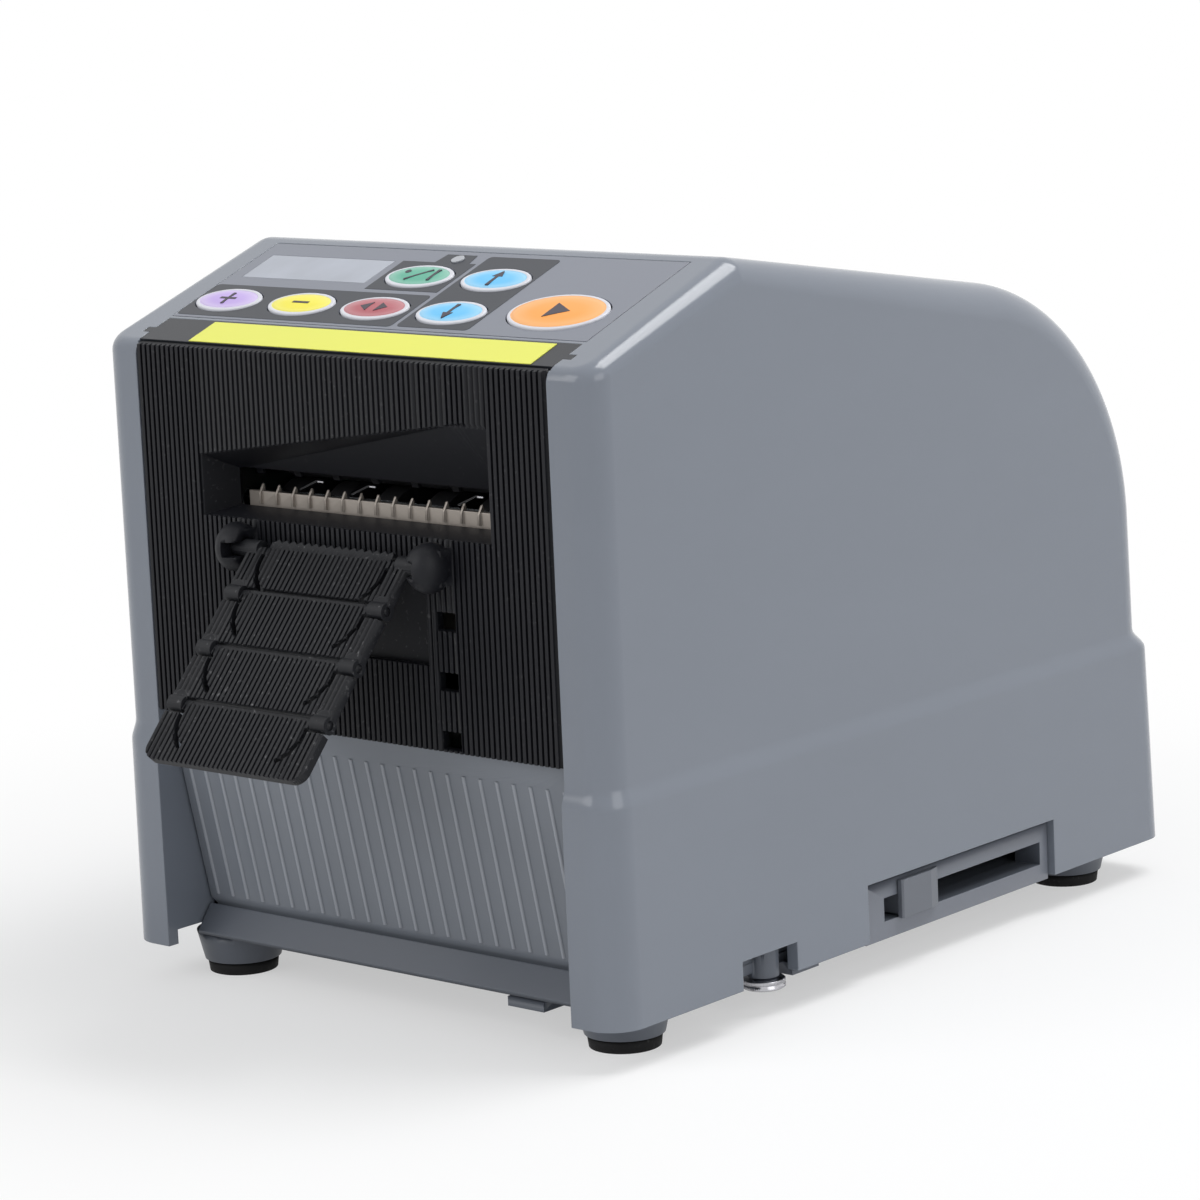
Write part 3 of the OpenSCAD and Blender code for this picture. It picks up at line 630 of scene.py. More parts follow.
def soften(obj: bpy.types.Object, degrees: float = 30.0) -> bpy.types.Object:
    """Shades an object smoothly up to an angle, with flat faces kept flat.

    Args:
        obj: the object.
        degrees: edges bent more stay sharp.

    Returns:
        The same object.
    """
    obj.data.shade_smooth()
    obj.data.set_sharp_from_angle(angle=math.radians(degrees))
    even = obj.modifiers.new("even", "WEIGHTED_NORMAL")
    even.keep_sharp = True
    return settle(obj)


def paint(obj: bpy.types.Object, *finishes: Finish) -> bpy.types.Object:
    """Puts finishes in an object's material slots.

    Args:
        obj: the object.
        finishes: its finishes, in the slots' order.

    Returns:
        The same object.
    """
    obj.data.materials.clear()
    for finish in finishes:
        obj.data.materials.append(PALETTE.get(finish))
    return obj


def dress(finish: Finish, *nodes: str) -> None:
    """Gives frame nodes a finish without touching their meshes.

    Args:
        finish: the finish.
        nodes: names of the nodes.
    """
    for name in nodes:
        paint(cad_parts[name], finish)
        log.info("dressed %s", name)


def smooth_copy(node: str, body: str, slot: str, finish: Finish, degrees: float = 32.0) -> bpy.types.Object:
    """Stands a merged, smoothly shaded copy in for a frame node.

    Args:
        node: the node that it replaces.
        body: the body that it rides on.
        slot: the record's material slot.
        finish: its surface.
        degrees: edges bent more stay sharp.

    Returns:
        The copy.
    """
    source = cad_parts[node]
    data = source.data.copy()
    work = bmesh.new()
    work.from_mesh(data)
    bmesh.ops.remove_doubles(work, verts=work.verts, dist=1e-6)
    bmesh.ops.dissolve_limit(work, angle_limit=math.radians(0.5), verts=work.verts, edges=work.edges)
    bmesh.ops.triangulate(work, faces=[f for f in work.faces if len(f.verts) > 4])
    work.to_mesh(data)
    work.free()
    obj = bpy.data.objects.new(node + "_skin", data)
    bpy.context.collection.objects.link(obj)
    soften(paint(obj, finish), degrees)
    return enter(obj, body, slot, node)


def enter(obj: bpy.types.Object, body: str, slot: str, *nodes: str) -> bpy.types.Object:
    """Sets a finished piece on its body.

    Args:
        obj: the piece.
        body: the body that carries it.
        slot: the record's material slot; not used.
        nodes: frame nodes that it stands in for.

    Returns:
        The piece.
    """
    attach(obj, body)
    if nodes:
        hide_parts(*nodes)
    log.info("placed %s on %s", obj.name, body)
    return obj


class BakedTree:
    """Geometry node tree that sets copies of a shape out and is then baked."""

    def __init__(self, name: str, inputs: dict[str, str]) -> None:
        """Opens the tree, with the copied shape and the last two steps in place.

        Args:
            name: the tree's name.
            inputs: kind of each input by its name.
        """
        self.tree = bpy.data.node_groups.new(name, "GeometryNodeTree")
        face = self.tree.interface
        for label, kind in inputs.items():
            face.new_socket(label, in_out="INPUT", socket_type="NodeSocket" + kind)
        face.new_socket("Copies", in_out="OUTPUT", socket_type="NodeSocketGeometry")
        wires = self.wires = Wiring(self.tree)
        self.source = wires.add("NodeGroupInput").outputs
        target = wires.add("NodeGroupOutput")
        shape = wires.add("GeometryNodeObjectInfo", transform_space="ORIGINAL", As_Instance=True)
        self.copies = wires.add("GeometryNodeInstanceOnPoints")
        self.real = wires.add("GeometryNodeRealizeInstances")
        coat = wires.add("GeometryNodeSetMaterial")
        wires.join(self.source["Shape"], shape.inputs["Object"])
        wires.join(shape.outputs["Geometry"], self.copies.inputs["Instance"])
        wires.join(self.real.outputs["Geometry"], coat.inputs["Geometry"])
        wires.join(self.source["Finish"], coat.inputs["Material"])
        wires.join(coat.outputs["Geometry"], target.inputs["Copies"])

    def bake(self, name: str, points: Sequence[Vector], values: dict[str, object]) -> bpy.types.Object:
        """Runs the tree once on a new object.

        Args:
            name: the piece's name.
            points: the object's own points in metres.
            values: input values by name.

        Returns:
            The baked piece.
        """
        data = bpy.data.meshes.new(name)
        data.from_pydata([tuple(p) for p in points], [], [])
        obj = bpy.data.objects.new(name, data)
        bpy.context.collection.objects.link(obj)
        step = obj.modifiers.new("copies", "NODES")
        step.node_group = self.tree
        for item in self.tree.interface.items_tree:
            if item.name in values:
                step[item.identifier] = values[item.name]
        return settle(obj)


class CopyTree(BakedTree):
    """Sets turned copies of a shape on points."""

    def __init__(self) -> None:
        """Builds the tree with its named inputs."""
        super().__init__("copies_on_points", {
            "Points": "Geometry", "Shape": "Object", "Turn": "Vector", "Spin": "Float", "Seed": "Int",
            "Finish": "Material",
        })
        wires, source, copies = self.wires, self.source, self.copies
        chance = wires.add("FunctionNodeRandomValue", data_type="FLOAT")
        about = wires.add("ShaderNodeCombineXYZ")
        turned = wires.add("GeometryNodeRotateInstances")
        least, most = [s for s in chance.inputs if s.type == "VALUE"][:2]
        least.default_value = 0.0
        wires.join(source["Points"], copies.inputs["Points"])
        wires.join(source["Turn"], copies.inputs["Rotation"])
        wires.join(source["Spin"], most)
        wires.join(source["Seed"], chance.inputs["Seed"])
        wires.join([s for s in chance.outputs if s.type == "VALUE"][0], about.inputs["Z"])
        wires.join(copies.outputs["Instances"], turned.inputs["Instances"])
        wires.join(about.outputs[0], turned.inputs["Rotation"])
        wires.join(turned.outputs["Instances"], self.real.inputs["Geometry"])

    def run(self, name: str, points: Sequence[Vector], shape: bpy.types.Object, finish: Finish,
            turn: Sequence[float] = (0, 0, 0), spin: float = 0.0, seed: int = 7) -> bpy.types.Object:
        """Sets copies out and bakes them.

        Args:
            name: the piece's name.
            points: places in metres.
            shape: the prototype, at the origin.
            finish: surface of the copies.
            turn: Euler turn of every copy.
            spin: largest extra turn about each copy's own axis.
            seed: seed of the extra turns.

        Returns:
            The baked piece.
        """
        return self.bake(name, points, {
            "Shape": shape, "Turn": tuple(turn), "Spin": spin, "Seed": seed, "Finish": PALETTE.get(finish),
        })


class RingTree(BakedTree):
    """Sets copies of a shape round an upright axis."""

    def __init__(self) -> None:
        """Builds the tree with its named inputs."""
        super().__init__("copies_in_ring", {
            "Count": "Int", "Radius": "Float", "Place": "Vector", "Shape": "Object", "Finish": "Material",
        })
        wires, source, copies = self.wires, self.source, self.copies
        circle = wires.add("GeometryNodeMeshCircle")
        about = wires.add("ShaderNodeCombineXYZ")
        move = wires.add("GeometryNodeTransform")
        order = wires.add("GeometryNodeInputIndex").outputs[0]
        step = wires.math("DIVIDE", 2 * math.pi, source["Count"])
        wires.join(wires.math("MULTIPLY", order, step), about.inputs["Z"])
        wires.join(source["Count"], circle.inputs["Vertices"])
        wires.join(source["Radius"], circle.inputs["Radius"])
        wires.join(circle.outputs["Mesh"], copies.inputs["Points"])
        wires.join(about.outputs[0], copies.inputs["Rotation"])
        wires.join(copies.outputs["Instances"], move.inputs["Geometry"])
        wires.join(source["Place"], move.inputs["Translation"])
        wires.join(move.outputs["Geometry"], self.real.inputs["Geometry"])

    def run(self, name: str, count: int, radius: float, place: Vector, shape: bpy.types.Object,
            finish: Finish) -> bpy.types.Object:
        """Sets a ring of copies out and bakes it.

        Args:
            name: the piece's name.
            count: number of copies.
            radius: ring radius in metres.
            place: ring centre in metres.
            shape: the prototype, with X pointing outwards.
            finish: surface of the copies.

        Returns:
            The baked piece.
        """
        return self.bake(name, [], {
            "Count": count, "Radius": radius, "Place": tuple(place), "Shape": shape,
            "Finish": PALETTE.get(finish),
        })


COPIES = CopyTree()
RINGS = RingTree()
SCREW_SPIN = 6.0


class Hardware(Enum):
    """Small parts that are set out in numbers."""

    SCREW = "screw"
    CLIP = "clip"
    PIN = "pin"
    CHIP = "chip"

    def shape(self) -> bpy.types.Object:
        """Builds the prototype, with Z pointing away from its seat.

        Returns:
            An object in metres at the origin.
        """
        work = Sketch(LOOSE)
        if self is Hardware.SCREW:
            rings = [(2.4, -0.2), (2.4, 0.5), (2.0, 1.1), (1.2, 1.4)]
            work.loft([[(x, y, z) for x, y in oval(r, r, 20)] for r, z in rings])
        elif self is Hardware.CLIP:
            sweep = [math.radians(35 + 290 * i / 20) for i in range(21)]
            outer = [(4.4 * math.cos(t), 4.4 * math.sin(t)) for t in sweep]
            inner = [(3.05 * math.cos(t), 3.05 * math.sin(t)) for t in reversed(sweep)]
            work.prism(outer + inner, 0.15, 0.75)
        elif self is Hardware.PIN:
            work.prism(doubled([(0.2, 0), (0.2, 1.6)]), 0.0, 0.3)
        else:
            work.prism(rounded(-1.3, -0.7, 1.3, 0.7, 0.15, 2), -0.1, 0.7)
        solid = work.mesh(f"{self.value}_shape")
        if self is Hardware.SCREW:
            bar = doubled([(1.4, -0.25), (1.4, 0.25)])
            for turn in (0, math.pi / 2):
                slot = Sketch(LOOSE)
                slot.prism(shifted(bar, 0, 0, turn), 0.7, 2.0)
                carve(solid, slot.mesh("slot"))
        return solid

    def set_out(self, name: str, body: str, slot: str, finish: Finish, spots: Sequence[Sequence[float]],
                turn: Sequence[float] = (0, 0, 0)) -> None:
        """Sets copies on a body.

        Args:
            name: the piece's name.
            body: the body that carries them.
            slot: the record's material slot.
            finish: their surface.
            spots: places in millimetres.
            turn: Euler turn that takes Z to the seat's normal.
        """
        shape = self.shape()
        spin = SCREW_SPIN if self is Hardware.SCREW else 0.0
        piece = COPIES.run(name, [MACHINE @ Vector(p) for p in spots], shape, finish, turn, spin)
        bpy.data.objects.remove(shape)
        enter(piece, body, slot)


@dataclass
class HousingCover:
    """The one-piece moulded cover, rebuilt with continuous rounds.

    Sizes are millimetres. A notch is given by its start, its end and its top, a bed and the window
    by two corners, and a cut by its lowest and its highest value.
    """

    half: float = 74.0
    wall: float = 3.0
    corner: float = 7.0
    edge: float = 4.0
    ridge: float = 6.0
    roof_a: float = math.radians(9.65)
    roof_ref: float = 177.5
    hood: float = 66.0
    hood_edge: float = 9.0
    hood_set: float = 1.2
    hood_end: float = 0.02
    rear: float = 203.0
    skirt_half: float = 75.5
    skirt_front: float = -1.2
    skirt_rear: float = 208.4
    skirt_z: float = 9.2
    skirt_corner: float = 8.0
    skirt_draft: Spot = (0.4, 2.4)
    shoulder: Spot = (57.0, 62.0)
    front_half: float = 62.0
    front_sill: float = 146.6
    notch_x: Spot = (63.5, 80.0)
    screw_notch: Point = (40.7, 60.0, 15.8)
    slide_notch: Point = (86.3, 159.6, 22.8)
    rear_steps: tuple[Spot, ...] = ((47.0, -1.0), (47.0, 19.0), (34.0, 19.0), (34.0, 46.5))
    rear_cut: Spot = (193.0, 213.4)
    overlay_bed: tuple[Point, Point] = ((-62.75, 13.25, -0.8), (62.75, 50.95, 5.0))
    strip_bed: tuple[Spot, ...] = (
        (62.4, 1.0), (62.4, 5.4), (64.7, 5.4), (64.7, 7.6), (62.4, 7.6), (62.4, 12.3),
    )
    strip_cut: Spot = (-1.0, 4.0)
    window: tuple[Point, Point] = ((-59.0, 19.7, -9.0), (-19.2, 31.8, 2.0))
    lamp_r: float = 1.7
    deck_cut: Spot = (-9.0, 2.0)
    lug_x: float = 39.0
    lug_half: float = 2.5
    lug_r: float = 4.2
    lug_root: tuple[Spot, Spot] = ((206.6, 22.0), (201.0, 22.0))
    hinge: Spot = (203.4, 13.2)
    hinge_r: float = 2.05
    flange_x: float = 63.2
    flange_half: float = 1.2
    flange_y: Spot = (1.5, 14.0)
    flange_z: Spot = (12.6, 149.7)
    sharp_a: float = 28.0
    steps: int = 12
    ridge_steps: int = 6
    hood_steps: int = 26
    shoulder_steps: int = 6

    def arc(self, first: Vector, last: Vector, count: int) -> Loop:
        """Returns unit directions that swing evenly from one to another."""
        return [first.slerp(last, i / count) for i in range(count + 1)]

    def stations(self) -> list[tuple[Vector, float, Vector]]:
        """Follows the round between side and top from the front to the rear.

        Returns:
            Ball centre without its X, ball radius, and the top's normal, at each step.
        """
        tilt, fall = math.tan(DECK_A), math.tan(self.roof_a)
        deck = Vector((0, -math.sin(DECK_A), math.cos(DECK_A)))
        roof = Vector((0, math.sin(self.roof_a), math.cos(self.roof_a)))
        path = [(Vector((0, self.corner, DECK_Z + tilt * self.corner - self.edge / deck.z)), self.edge, deck)]
        y = (self.roof_ref - self.ridge / roof.z - DECK_Z + self.ridge / deck.z) / (tilt + fall)
        top = Vector((0, y, DECK_Z + tilt * y - self.ridge / deck.z))
        path += [(top, self.ridge, d) for d in self.arc(deck, roof, self.ridge_steps)]
        hub_y = self.rear - self.hood_set - self.hood
        hub = Vector((0, hub_y, self.roof_ref - fall * hub_y - self.hood / roof.z))
        reach = self.hood - self.hood_edge
        back = Vector((0, 1, 0))
        swing = self.arc(roof, back.slerp(roof, self.hood_end), self.hood_steps)
        path += [(hub + reach * d, self.hood_edge, d) for d in swing]
        path.append((Vector((0, self.rear - self.hood_edge, self.shoulder[1])), self.hood_edge, back))
        return path

    def ring(self, half: float, ends: Spot, radii: Spot, z: float) -> Loop:
        """Draws a level loop round the housing.

        Args:
            half: half the loop's width.
            ends: its front and its rear.
            radii: radius of its front and of its rear corners.
            z: its height.

        Returns:
            The loop's points, from the middle of the front to the right.
        """
        turns = [math.pi / 2 * i / self.steps for i in range(self.steps + 1)]
        (front, rear), (r, q) = ends, radii
        right = [Vector((half - r + r * math.sin(t), front + r - r * math.cos(t), z)) for t in turns]
        right += [Vector((half - q + q * math.cos(t), rear - q + q * math.sin(t), z)) for t in turns]
        return right + self.mirrored(right[::-1])

    def mirrored(self, points: Loop) -> Loop:
        """Returns points on the other side of the middle plane."""
        return [Vector((-p.x, p.y, p.z)) for p in points]

    def skin(self, sketch: Sketch, inset: float) -> Loop:
        """Draws the outer or the inner face of the wall.

        Args:
            sketch: where the faces go.
            inset: depth below the outer face.

        Returns:
            The loop at the open bottom.
        """
        count, low = self.steps, self.shoulder[1]
        path = self.stations()
        start, _, deck = path[0]
        for side in (1, -1):
            corner = []
            for i in range(count + 1):
                t = math.pi / 2 * i / count
                swing = self.corner - self.edge
                y = self.corner - swing * math.cos(t)
                x = self.half - self.corner + swing * math.sin(t)
                ball = Vector((side * x, y, start.z + math.tan(DECK_A) * (y - start.y)))
                out = Vector((side * math.sin(t), -math.cos(t), 0))
                corner.append([ball + (self.edge - inset) * d for d in self.arc(out, deck, count)])
                corner[-1].insert(0, Vector((corner[-1][0].x, corner[-1][0].y, low)))
            sketch.loft(corner, closed=False, caps=False)
            rows = []
            for ball, r, normal in path:
                centre = Vector((side * (self.half - r), ball.y, ball.z))
                rows.append([centre + (r - inset) * d for d in self.arc(Vector((side, 0, 0)), normal, count)])
            sketch.loft(rows, closed=False, caps=False)
            sketch.face([corner[-1][0]] + self.distinct([row[0] for row in rows]))
        # The last side's edges and their mirror images close the front, the deck and the roof.
        sketch.loft([corner[0], self.mirrored(corner[0])], closed=False, caps=False)
        rim = [column[-1] for column in corner] + [rows[1][-1]]
        sketch.face(rim + self.mirrored(rim[::-1]))
        ridge = [row[-1] for row in rows[1:]]
        sketch.loft([ridge, self.mirrored(ridge)], closed=False, caps=False)
        return self.lower(sketch, inset)

    def distinct(self, points: Loop) -> Loop:
        """Drops points that repeat the one before."""
        return [p for i, p in enumerate(points) if i == 0 or (p - points[i - 1]).length > 1e-6]

    def lower(self, sketch: Sketch, inset: float) -> Loop:
        """Draws the shoulder and the skirt of one face of the wall.

        Args:
            sketch: where the faces go.
            inset: depth below the outer face.

        Returns:
            The loop at the open bottom.
        """
        low, high = self.shoulder
        rounds = (self.corner - inset, self.hood_edge - inset)
        top = self.ring(self.half - inset, (inset, self.rear - inset), rounds, high)
        front, rear = self.skirt_front + inset, self.skirt_rear - inset
        rounds = (self.skirt_corner - inset, self.skirt_corner - inset)
        side, back = self.skirt_draft
        foot = self.ring(self.skirt_half - side - inset, (front, rear - back), rounds, low)
        loops = []
        for i in range(self.shoulder_steps + 1):
            t = i / self.shoulder_steps
            ease = t * t * (3 - 2 * t)
            z = high + (low - high) * t
            loops.append([Vector((*a.xy.lerp(b.xy, ease), z)) for a, b in zip(top, foot)])
        loops.append(self.ring(self.skirt_half - inset, (front, rear), rounds, self.skirt_z))
        sketch.loft(loops, caps=False)
        return loops[-1]

    def openings(self) -> bpy.types.Object:
        """Draws what is cut from the front, the right side and the rear.

        Returns:
            The solid to cut with.
        """
        tool = Sketch()
        sill = self.front_sill
        front = [(-5, -1), (6, -1), (6, sill), (2, sill), (2, 200), (-5, 200)]
        tool.prism(front, -self.front_half, self.front_half, "x")
        near, far = self.notch_x
        for start, end, top in (self.screw_notch, self.slide_notch):
            tool.box((near, start, -1), (far, end, top))
        tool.prism(doubled(self.rear_steps), *self.rear_cut, "y")
        return tool.mesh("wall_openings")

    def recesses(self) -> bpy.types.Object:
        """Draws the shallow beds of the overlay and the strip.

        Returns:
            The solid to cut with.
        """
        tool = Sketch(DECK)
        tool.box(*self.overlay_bed)
        tool.prism(doubled(self.strip_bed), *self.strip_cut)
        return tool.mesh("deck_beds")

    def holes(self, keys: Sequence["KeyCap"]) -> bpy.types.Object:
        """Draws the holes through the deck for the window, the lamp and the keys.

        Args:
            keys: the keys.

        Returns:
            The solid to cut with.
        """
        tool = Sketch(OVERLAY)
        tool.box(*self.window)
        tool.prism(oval(self.lamp_r, self.lamp_r, 32, LAMP), *self.deck_cut)
        for key in keys:
            tool.prism(key.hole(), *self.deck_cut)
        return tool.mesh("deck_holes")

    def lugs(self) -> bpy.types.Object:
        """Draws the two hinge lugs inside the rear wall.

        Returns:
            The lugs as one solid.
        """
        tool = Sketch()
        y, z = self.hinge
        sweep = [math.radians(150 + 240 * i / 24) for i in range(25)]
        outline = [*self.lug_root]
        outline += [(y + self.lug_r * math.cos(t), z + self.lug_r * math.sin(t)) for t in sweep]
        for x in (-self.lug_x, self.lug_x):
            tool.prism(outline, x - self.lug_half, x + self.lug_half, "x")
        solid = tool.mesh("lugs")
        bore = Sketch()
        bore.prism(oval(self.hinge_r, self.hinge_r, 32, self.hinge), -45, 45, "x")
        return carve(solid, bore.mesh("lug_bore"))

    def build(self, keys: Sequence["KeyCap"]) -> bpy.types.Object:
        """Builds the cover in place of the frame's one.

        Args:
            keys: keys that need holes in the deck.

        Returns:
            The finished piece.
        """
        shell = Sketch()
        outer, inner = self.skin(shell, 0.0), self.skin(shell, self.wall)
        shell.loft([outer, inner], caps=False)
        cover = shell.mesh("cover_skin")
        flanges = Sketch()
        (front, rear), (low, high), half = self.flange_y, self.flange_z, self.flange_half
        for x in (-self.flange_x, self.flange_x):
            flanges.box((x - half, front, low), (x + half, rear, high))
        carve(cover, flanges.mesh("flanges"), "UNION")
        carve(cover, self.lugs(), "UNION")
        for tool in (self.openings(), self.recesses(), self.holes(keys)):
            carve(cover, tool)
        soften(paint(cover, Palette.HOUSING), self.sharp_a)
        return enter(cover, "cover", "housing_grey", "cover_shell", "cover_skirt")


class Mark(Enum):
    """Signs on the keys."""

    PLUS = "plus"
    MINUS = "minus"
    PAIR = "pair"
    SLASH = "slash"
    AHEAD = "ahead"
    BACK = "back"
    PLAY = "play"


@dataclass(frozen=True)
class KeyCap:
    """One oval key: a pale rim, a coloured dome and a printed sign."""

    body: str
    x: float
    s: float
    finish: Finish
    slot: str
    mark: Mark
    rx: float = 9.6
    ry: float = 5.3
    rim: float = 1.0
    gap: float = 0.35
    flange: float = 0.9
    flange_z: Spot = (-4.8, -3.4)
    lip: float = 0.35
    crown: float = 0.3
    stem_r: float = 2.0
    stem_z: Spot = (-6.2, -4.7)
    sign_z: Spot = (0.2, 0.72)
    fade_start: float = 0.55
    fade_run: float = 0.4

    def spot(self) -> Matrix:
        """Returns the key's own frame on the deck."""
        return OVERLAY @ Matrix.Translation((self.x, self.s, 0))

    def hole(self) -> list[Spot]:
        """Returns the outline of the key's hole in the overlay."""
        return oval(self.rx + self.gap, self.ry + self.gap, 64, (self.x, self.s))

    def height(self, share: float) -> float:
        """Returns the dome's height at a share of the way from rim to centre."""
        return self.lip + self.crown * math.sin(math.pi / 2 * share)

    def cap(self) -> bpy.types.Object:
        """Builds the key down to its flange, in two colours.

        Returns:
            The cap, standing in for the frame's key.
        """
        work = Sketch(self.spot())
        low, ledge = self.flange_z
        profile = [(-self.flange, low), (-self.flange, ledge), (0.0, ledge)]
        profile += [(0.0, 0.1), (0.12, 0.28), (0.35, self.lip)]
        profile += [(self.rim, 0.38), (self.rim + 0.12, 0.3), (self.rim + 0.3, 0.42)]
        dome, run = self.rim + 0.3, self.ry - self.rim - 0.6
        profile += [(dome + k * run / 6, self.height(k / 6)) for k in range(1, 7)]
        work.loft([[(x, y, z) for x, y in oval(self.rx - d, self.ry - d, 64)] for d, z in profile])
        cap = work.mesh(f"{self.body}_cap", smooth=40)
        paint(cap, Palette.RIM, self.finish)
        inside = self.spot().inverted()
        for face in cap.data.polygons:
            place = inside @ face.center
            edge = (place.x / (self.rx - self.rim)) ** 2 + (place.y / (self.ry - self.rim)) ** 2
            face.material_index = 1 if edge < 1.0 and place.z > 0 else 0
        stem = Sketch(self.spot())
        stem.prism(oval(self.stem_r, self.stem_r, 24), *self.stem_z)
        carve(cap, stem.mesh("stem"), "UNION")
        fade = cap.data.attributes.new("fade", "FLOAT", "POINT")
        for vertex in cap.data.vertices:
            place = inside @ vertex.co
            edge = math.hypot(place.x / (self.rx - self.rim), place.y / (self.ry - self.rim))
            share = (edge - self.fade_start) / self.fade_run
            fade.data[vertex.index].value = min(1.0, max(0.0, share))
        return enter(cap, self.body, self.slot, self.body)

    def strokes(self) -> list[list[Spot]]:
        """Draws the key's sign.

        Returns:
            The flat outlines of its strokes.
        """
        bar = doubled([(2.5, -0.4), (2.5, 0.4)])
        upright = doubled([(0.4, -2.5), (0.4, 2.5)])
        cross = doubled([(0.4, -2.5), (0.4, -0.4), (2.5, -0.4), (2.5, 0.4), (0.4, 0.4), (0.4, 2.5)])
        wedge = [(-1.9, -1.3), (1.9, -1.3), (0, 1.5)]
        arrow = [(-0.45, -3.2), (0.45, -3.2), (0.45, 0.8), (1.5, 0.8), (0, 3.4), (-1.5, 0.8), (-0.45, 0.8)]
        slash = shifted(doubled([(3.6, -0.32), (3.6, 0.32)]), 0, 0, math.radians(43))
        return {
            Mark.PLUS: [cross],
            Mark.MINUS: [bar],
            Mark.PAIR: [shifted(wedge, -2.6, 0, math.pi / 2), shifted(wedge, 2.6, 0, -math.pi / 2)],
            Mark.SLASH: [slash, shifted(oval(0.75, 0.75, 20), -4.2, 1.2), shifted(upright, 4.4, 0.2)],
            Mark.AHEAD: [arrow],
            Mark.BACK: [shifted(arrow, 0, 0, math.pi)],
            Mark.PLAY: [shifted([(-3.2, -2.7), (3.2, -2.7), (0, 2.9)], 0.6, 0, -math.pi / 2)],
        }[self.mark]

    def sign(self) -> bpy.types.Object:
        """Prints the sign as a thin skin on the dome.

        Returns:
            The printed sign.
        """
        work = Sketch(self.spot())
        for outline in self.strokes():
            work.prism(outline, *self.sign_z)
        sign = work.mesh(f"{self.body}_sign")
        paint(sign, Palette.INK)
        return enter(sign, self.body, self.slot)


@dataclass
class ControlDeck:
    """Keys, printed fields, window, lamp and strip on the sloping deck."""

    film: Spot = (-0.02, 0.06)
    lamp_r: float = 1.75

    def keys(self) -> list[KeyCap]:
        """Lists the seven keys.

        Returns:
            The keys with their places on the overlay.
        """
        return [
            KeyCap("key_plus", -52.1, 8.6, Palette.LILAC, "key_lilac", Mark.PLUS),
            KeyCap("key_minus", -28.9, 8.6, Palette.YELLOW, "key_yellow", Mark.MINUS),
            KeyCap("key_select", -6.2, 8.6, Palette.RED, "key_red", Mark.PAIR),
            KeyCap("key_mode", -6.1, 24.4, Palette.GREEN, "key_green", Mark.SLASH),
            KeyCap("key_forward", 16.8, 24.5, Palette.BLUE, "key_blue", Mark.AHEAD),
            KeyCap("key_reverse", 16.8, 8.6, Palette.BLUE, "key_blue", Mark.BACK),
            KeyCap("key_start", 45.5, 11.6, Palette.ORANGE, "key_orange", Mark.PLAY, 13.3, 8.2, 0.9),
        ]

    def fields(self) -> dict[str, list[Spot]]:
        """Draws the dark printed fields.

        Returns:
            Their outlines on the overlay, by piece name.
        """
        return {
            "field_row": rounded(-62.4, 1.0, 4.9, 16.0, 1.2),
            "field_mode": [(-17.2, 17.6), (4.9, 17.6), (4.9, 31.6), (2.9, 31.6), (2.2, 35.6), (-6.8, 35.6),
                           (-7.5, 31.6), (-17.2, 31.6)],
            "field_arrows": rounded(6.2, 1.4, 27.4, 35.4, 1.2),
        }

    def build(self) -> list[KeyCap]:
        """Builds everything on the deck.

        Returns:
            The keys, for the holes in the cover.
        """
        keys = self.keys()
        for key in keys:
            key.cap()
            key.sign()
        for name, outline in self.fields().items():
            work = Sketch(OVERLAY)
            work.prism(outline, *self.film)
            plate = work.mesh(name)
            holes = Sketch(OVERLAY)
            for key in keys:
                holes.prism(key.hole(), -1, 1)
            holes.prism(oval(self.lamp_r, self.lamp_r, 32, LAMP), -1, 1)
            carve(plate, holes.mesh("key_holes"))
            enter(paint(plate, Palette.PRINT), "cover", "overlay_grey")
        dress(Palette.OVERLAY, "deck_overlay")
        dress(Palette.STRIP, "deck_strip")
        dress(Palette.LABEL, "label_plate")
        dress(Palette.WINDOW, "display_window")
        dress(Palette.LENS, "status_lens")
        dress(Palette.CHIP, "display_module")
        dress(Palette.BOARD, "key_board")
        return keys


@dataclass
class OutletFront:
    """Ribbed black front with the tape outlet, its comb and leaf fingers."""

    leaf_xs: tuple[float, ...] = (-15.0, 1.0, 33.0)
    leaf_y: float = 9.75
    leaf_z: float = 120.0
    leaf_side: tuple[Spot, ...] = (
        (-6.8, -1.9), (-1.4, 0.4), (0.9, 0.3), (0.9, 0.0), (-1.3, 0.08), (-6.6, -2.2),
    )
    leaf_depth: Spot = (-0.12, 0.4)
    tip_depth: Spot = (-0.3, -0.1)

    def leaves(self) -> None:
        """Sets spring leaves along the top of the slot, with bright chrome slips on their tips as painted
        highlights.
        """
        spots = [MACHINE @ Vector((x, self.leaf_y, self.leaf_z)) for x in self.leaf_xs]
        blade = Sketch(LOOSE)
        blade.prism(self.leaf_side, *self.leaf_depth, "y")
        tip = Sketch(LOOSE)
        tip.prism(rounded(-0.85, -0.05, 0.95, 0.33, 0.15, 3), *self.tip_depth, "y")
        # The chrome slips on the leaf tips are painted highlights for the glints on the black leaves.
        halves = (("leaf_fingers", blade, Palette.RECESS), ("leaf_tips", tip, Palette.CHROME))
        for name, proto, finish in halves:
            shape = proto.mesh("leaf_shape")
            enter(COPIES.run(name, spots, shape, finish), "base", "ribbed_black")
            bpy.data.objects.remove(shape)

    def build(self) -> None:
        """Dresses the front and adds its fine parts."""
        smooth_copy("outlet_panel", "base", "ribbed_black", Palette.RIBBED)
        smooth_copy("guide_comb", "base", "comb_metal", Palette.COMB)
        smooth_copy("finger_guide", "base", "ribbed_black", Palette.RECESS)
        dress(Palette.BLADE, "lower_blade")
        self.leaves()


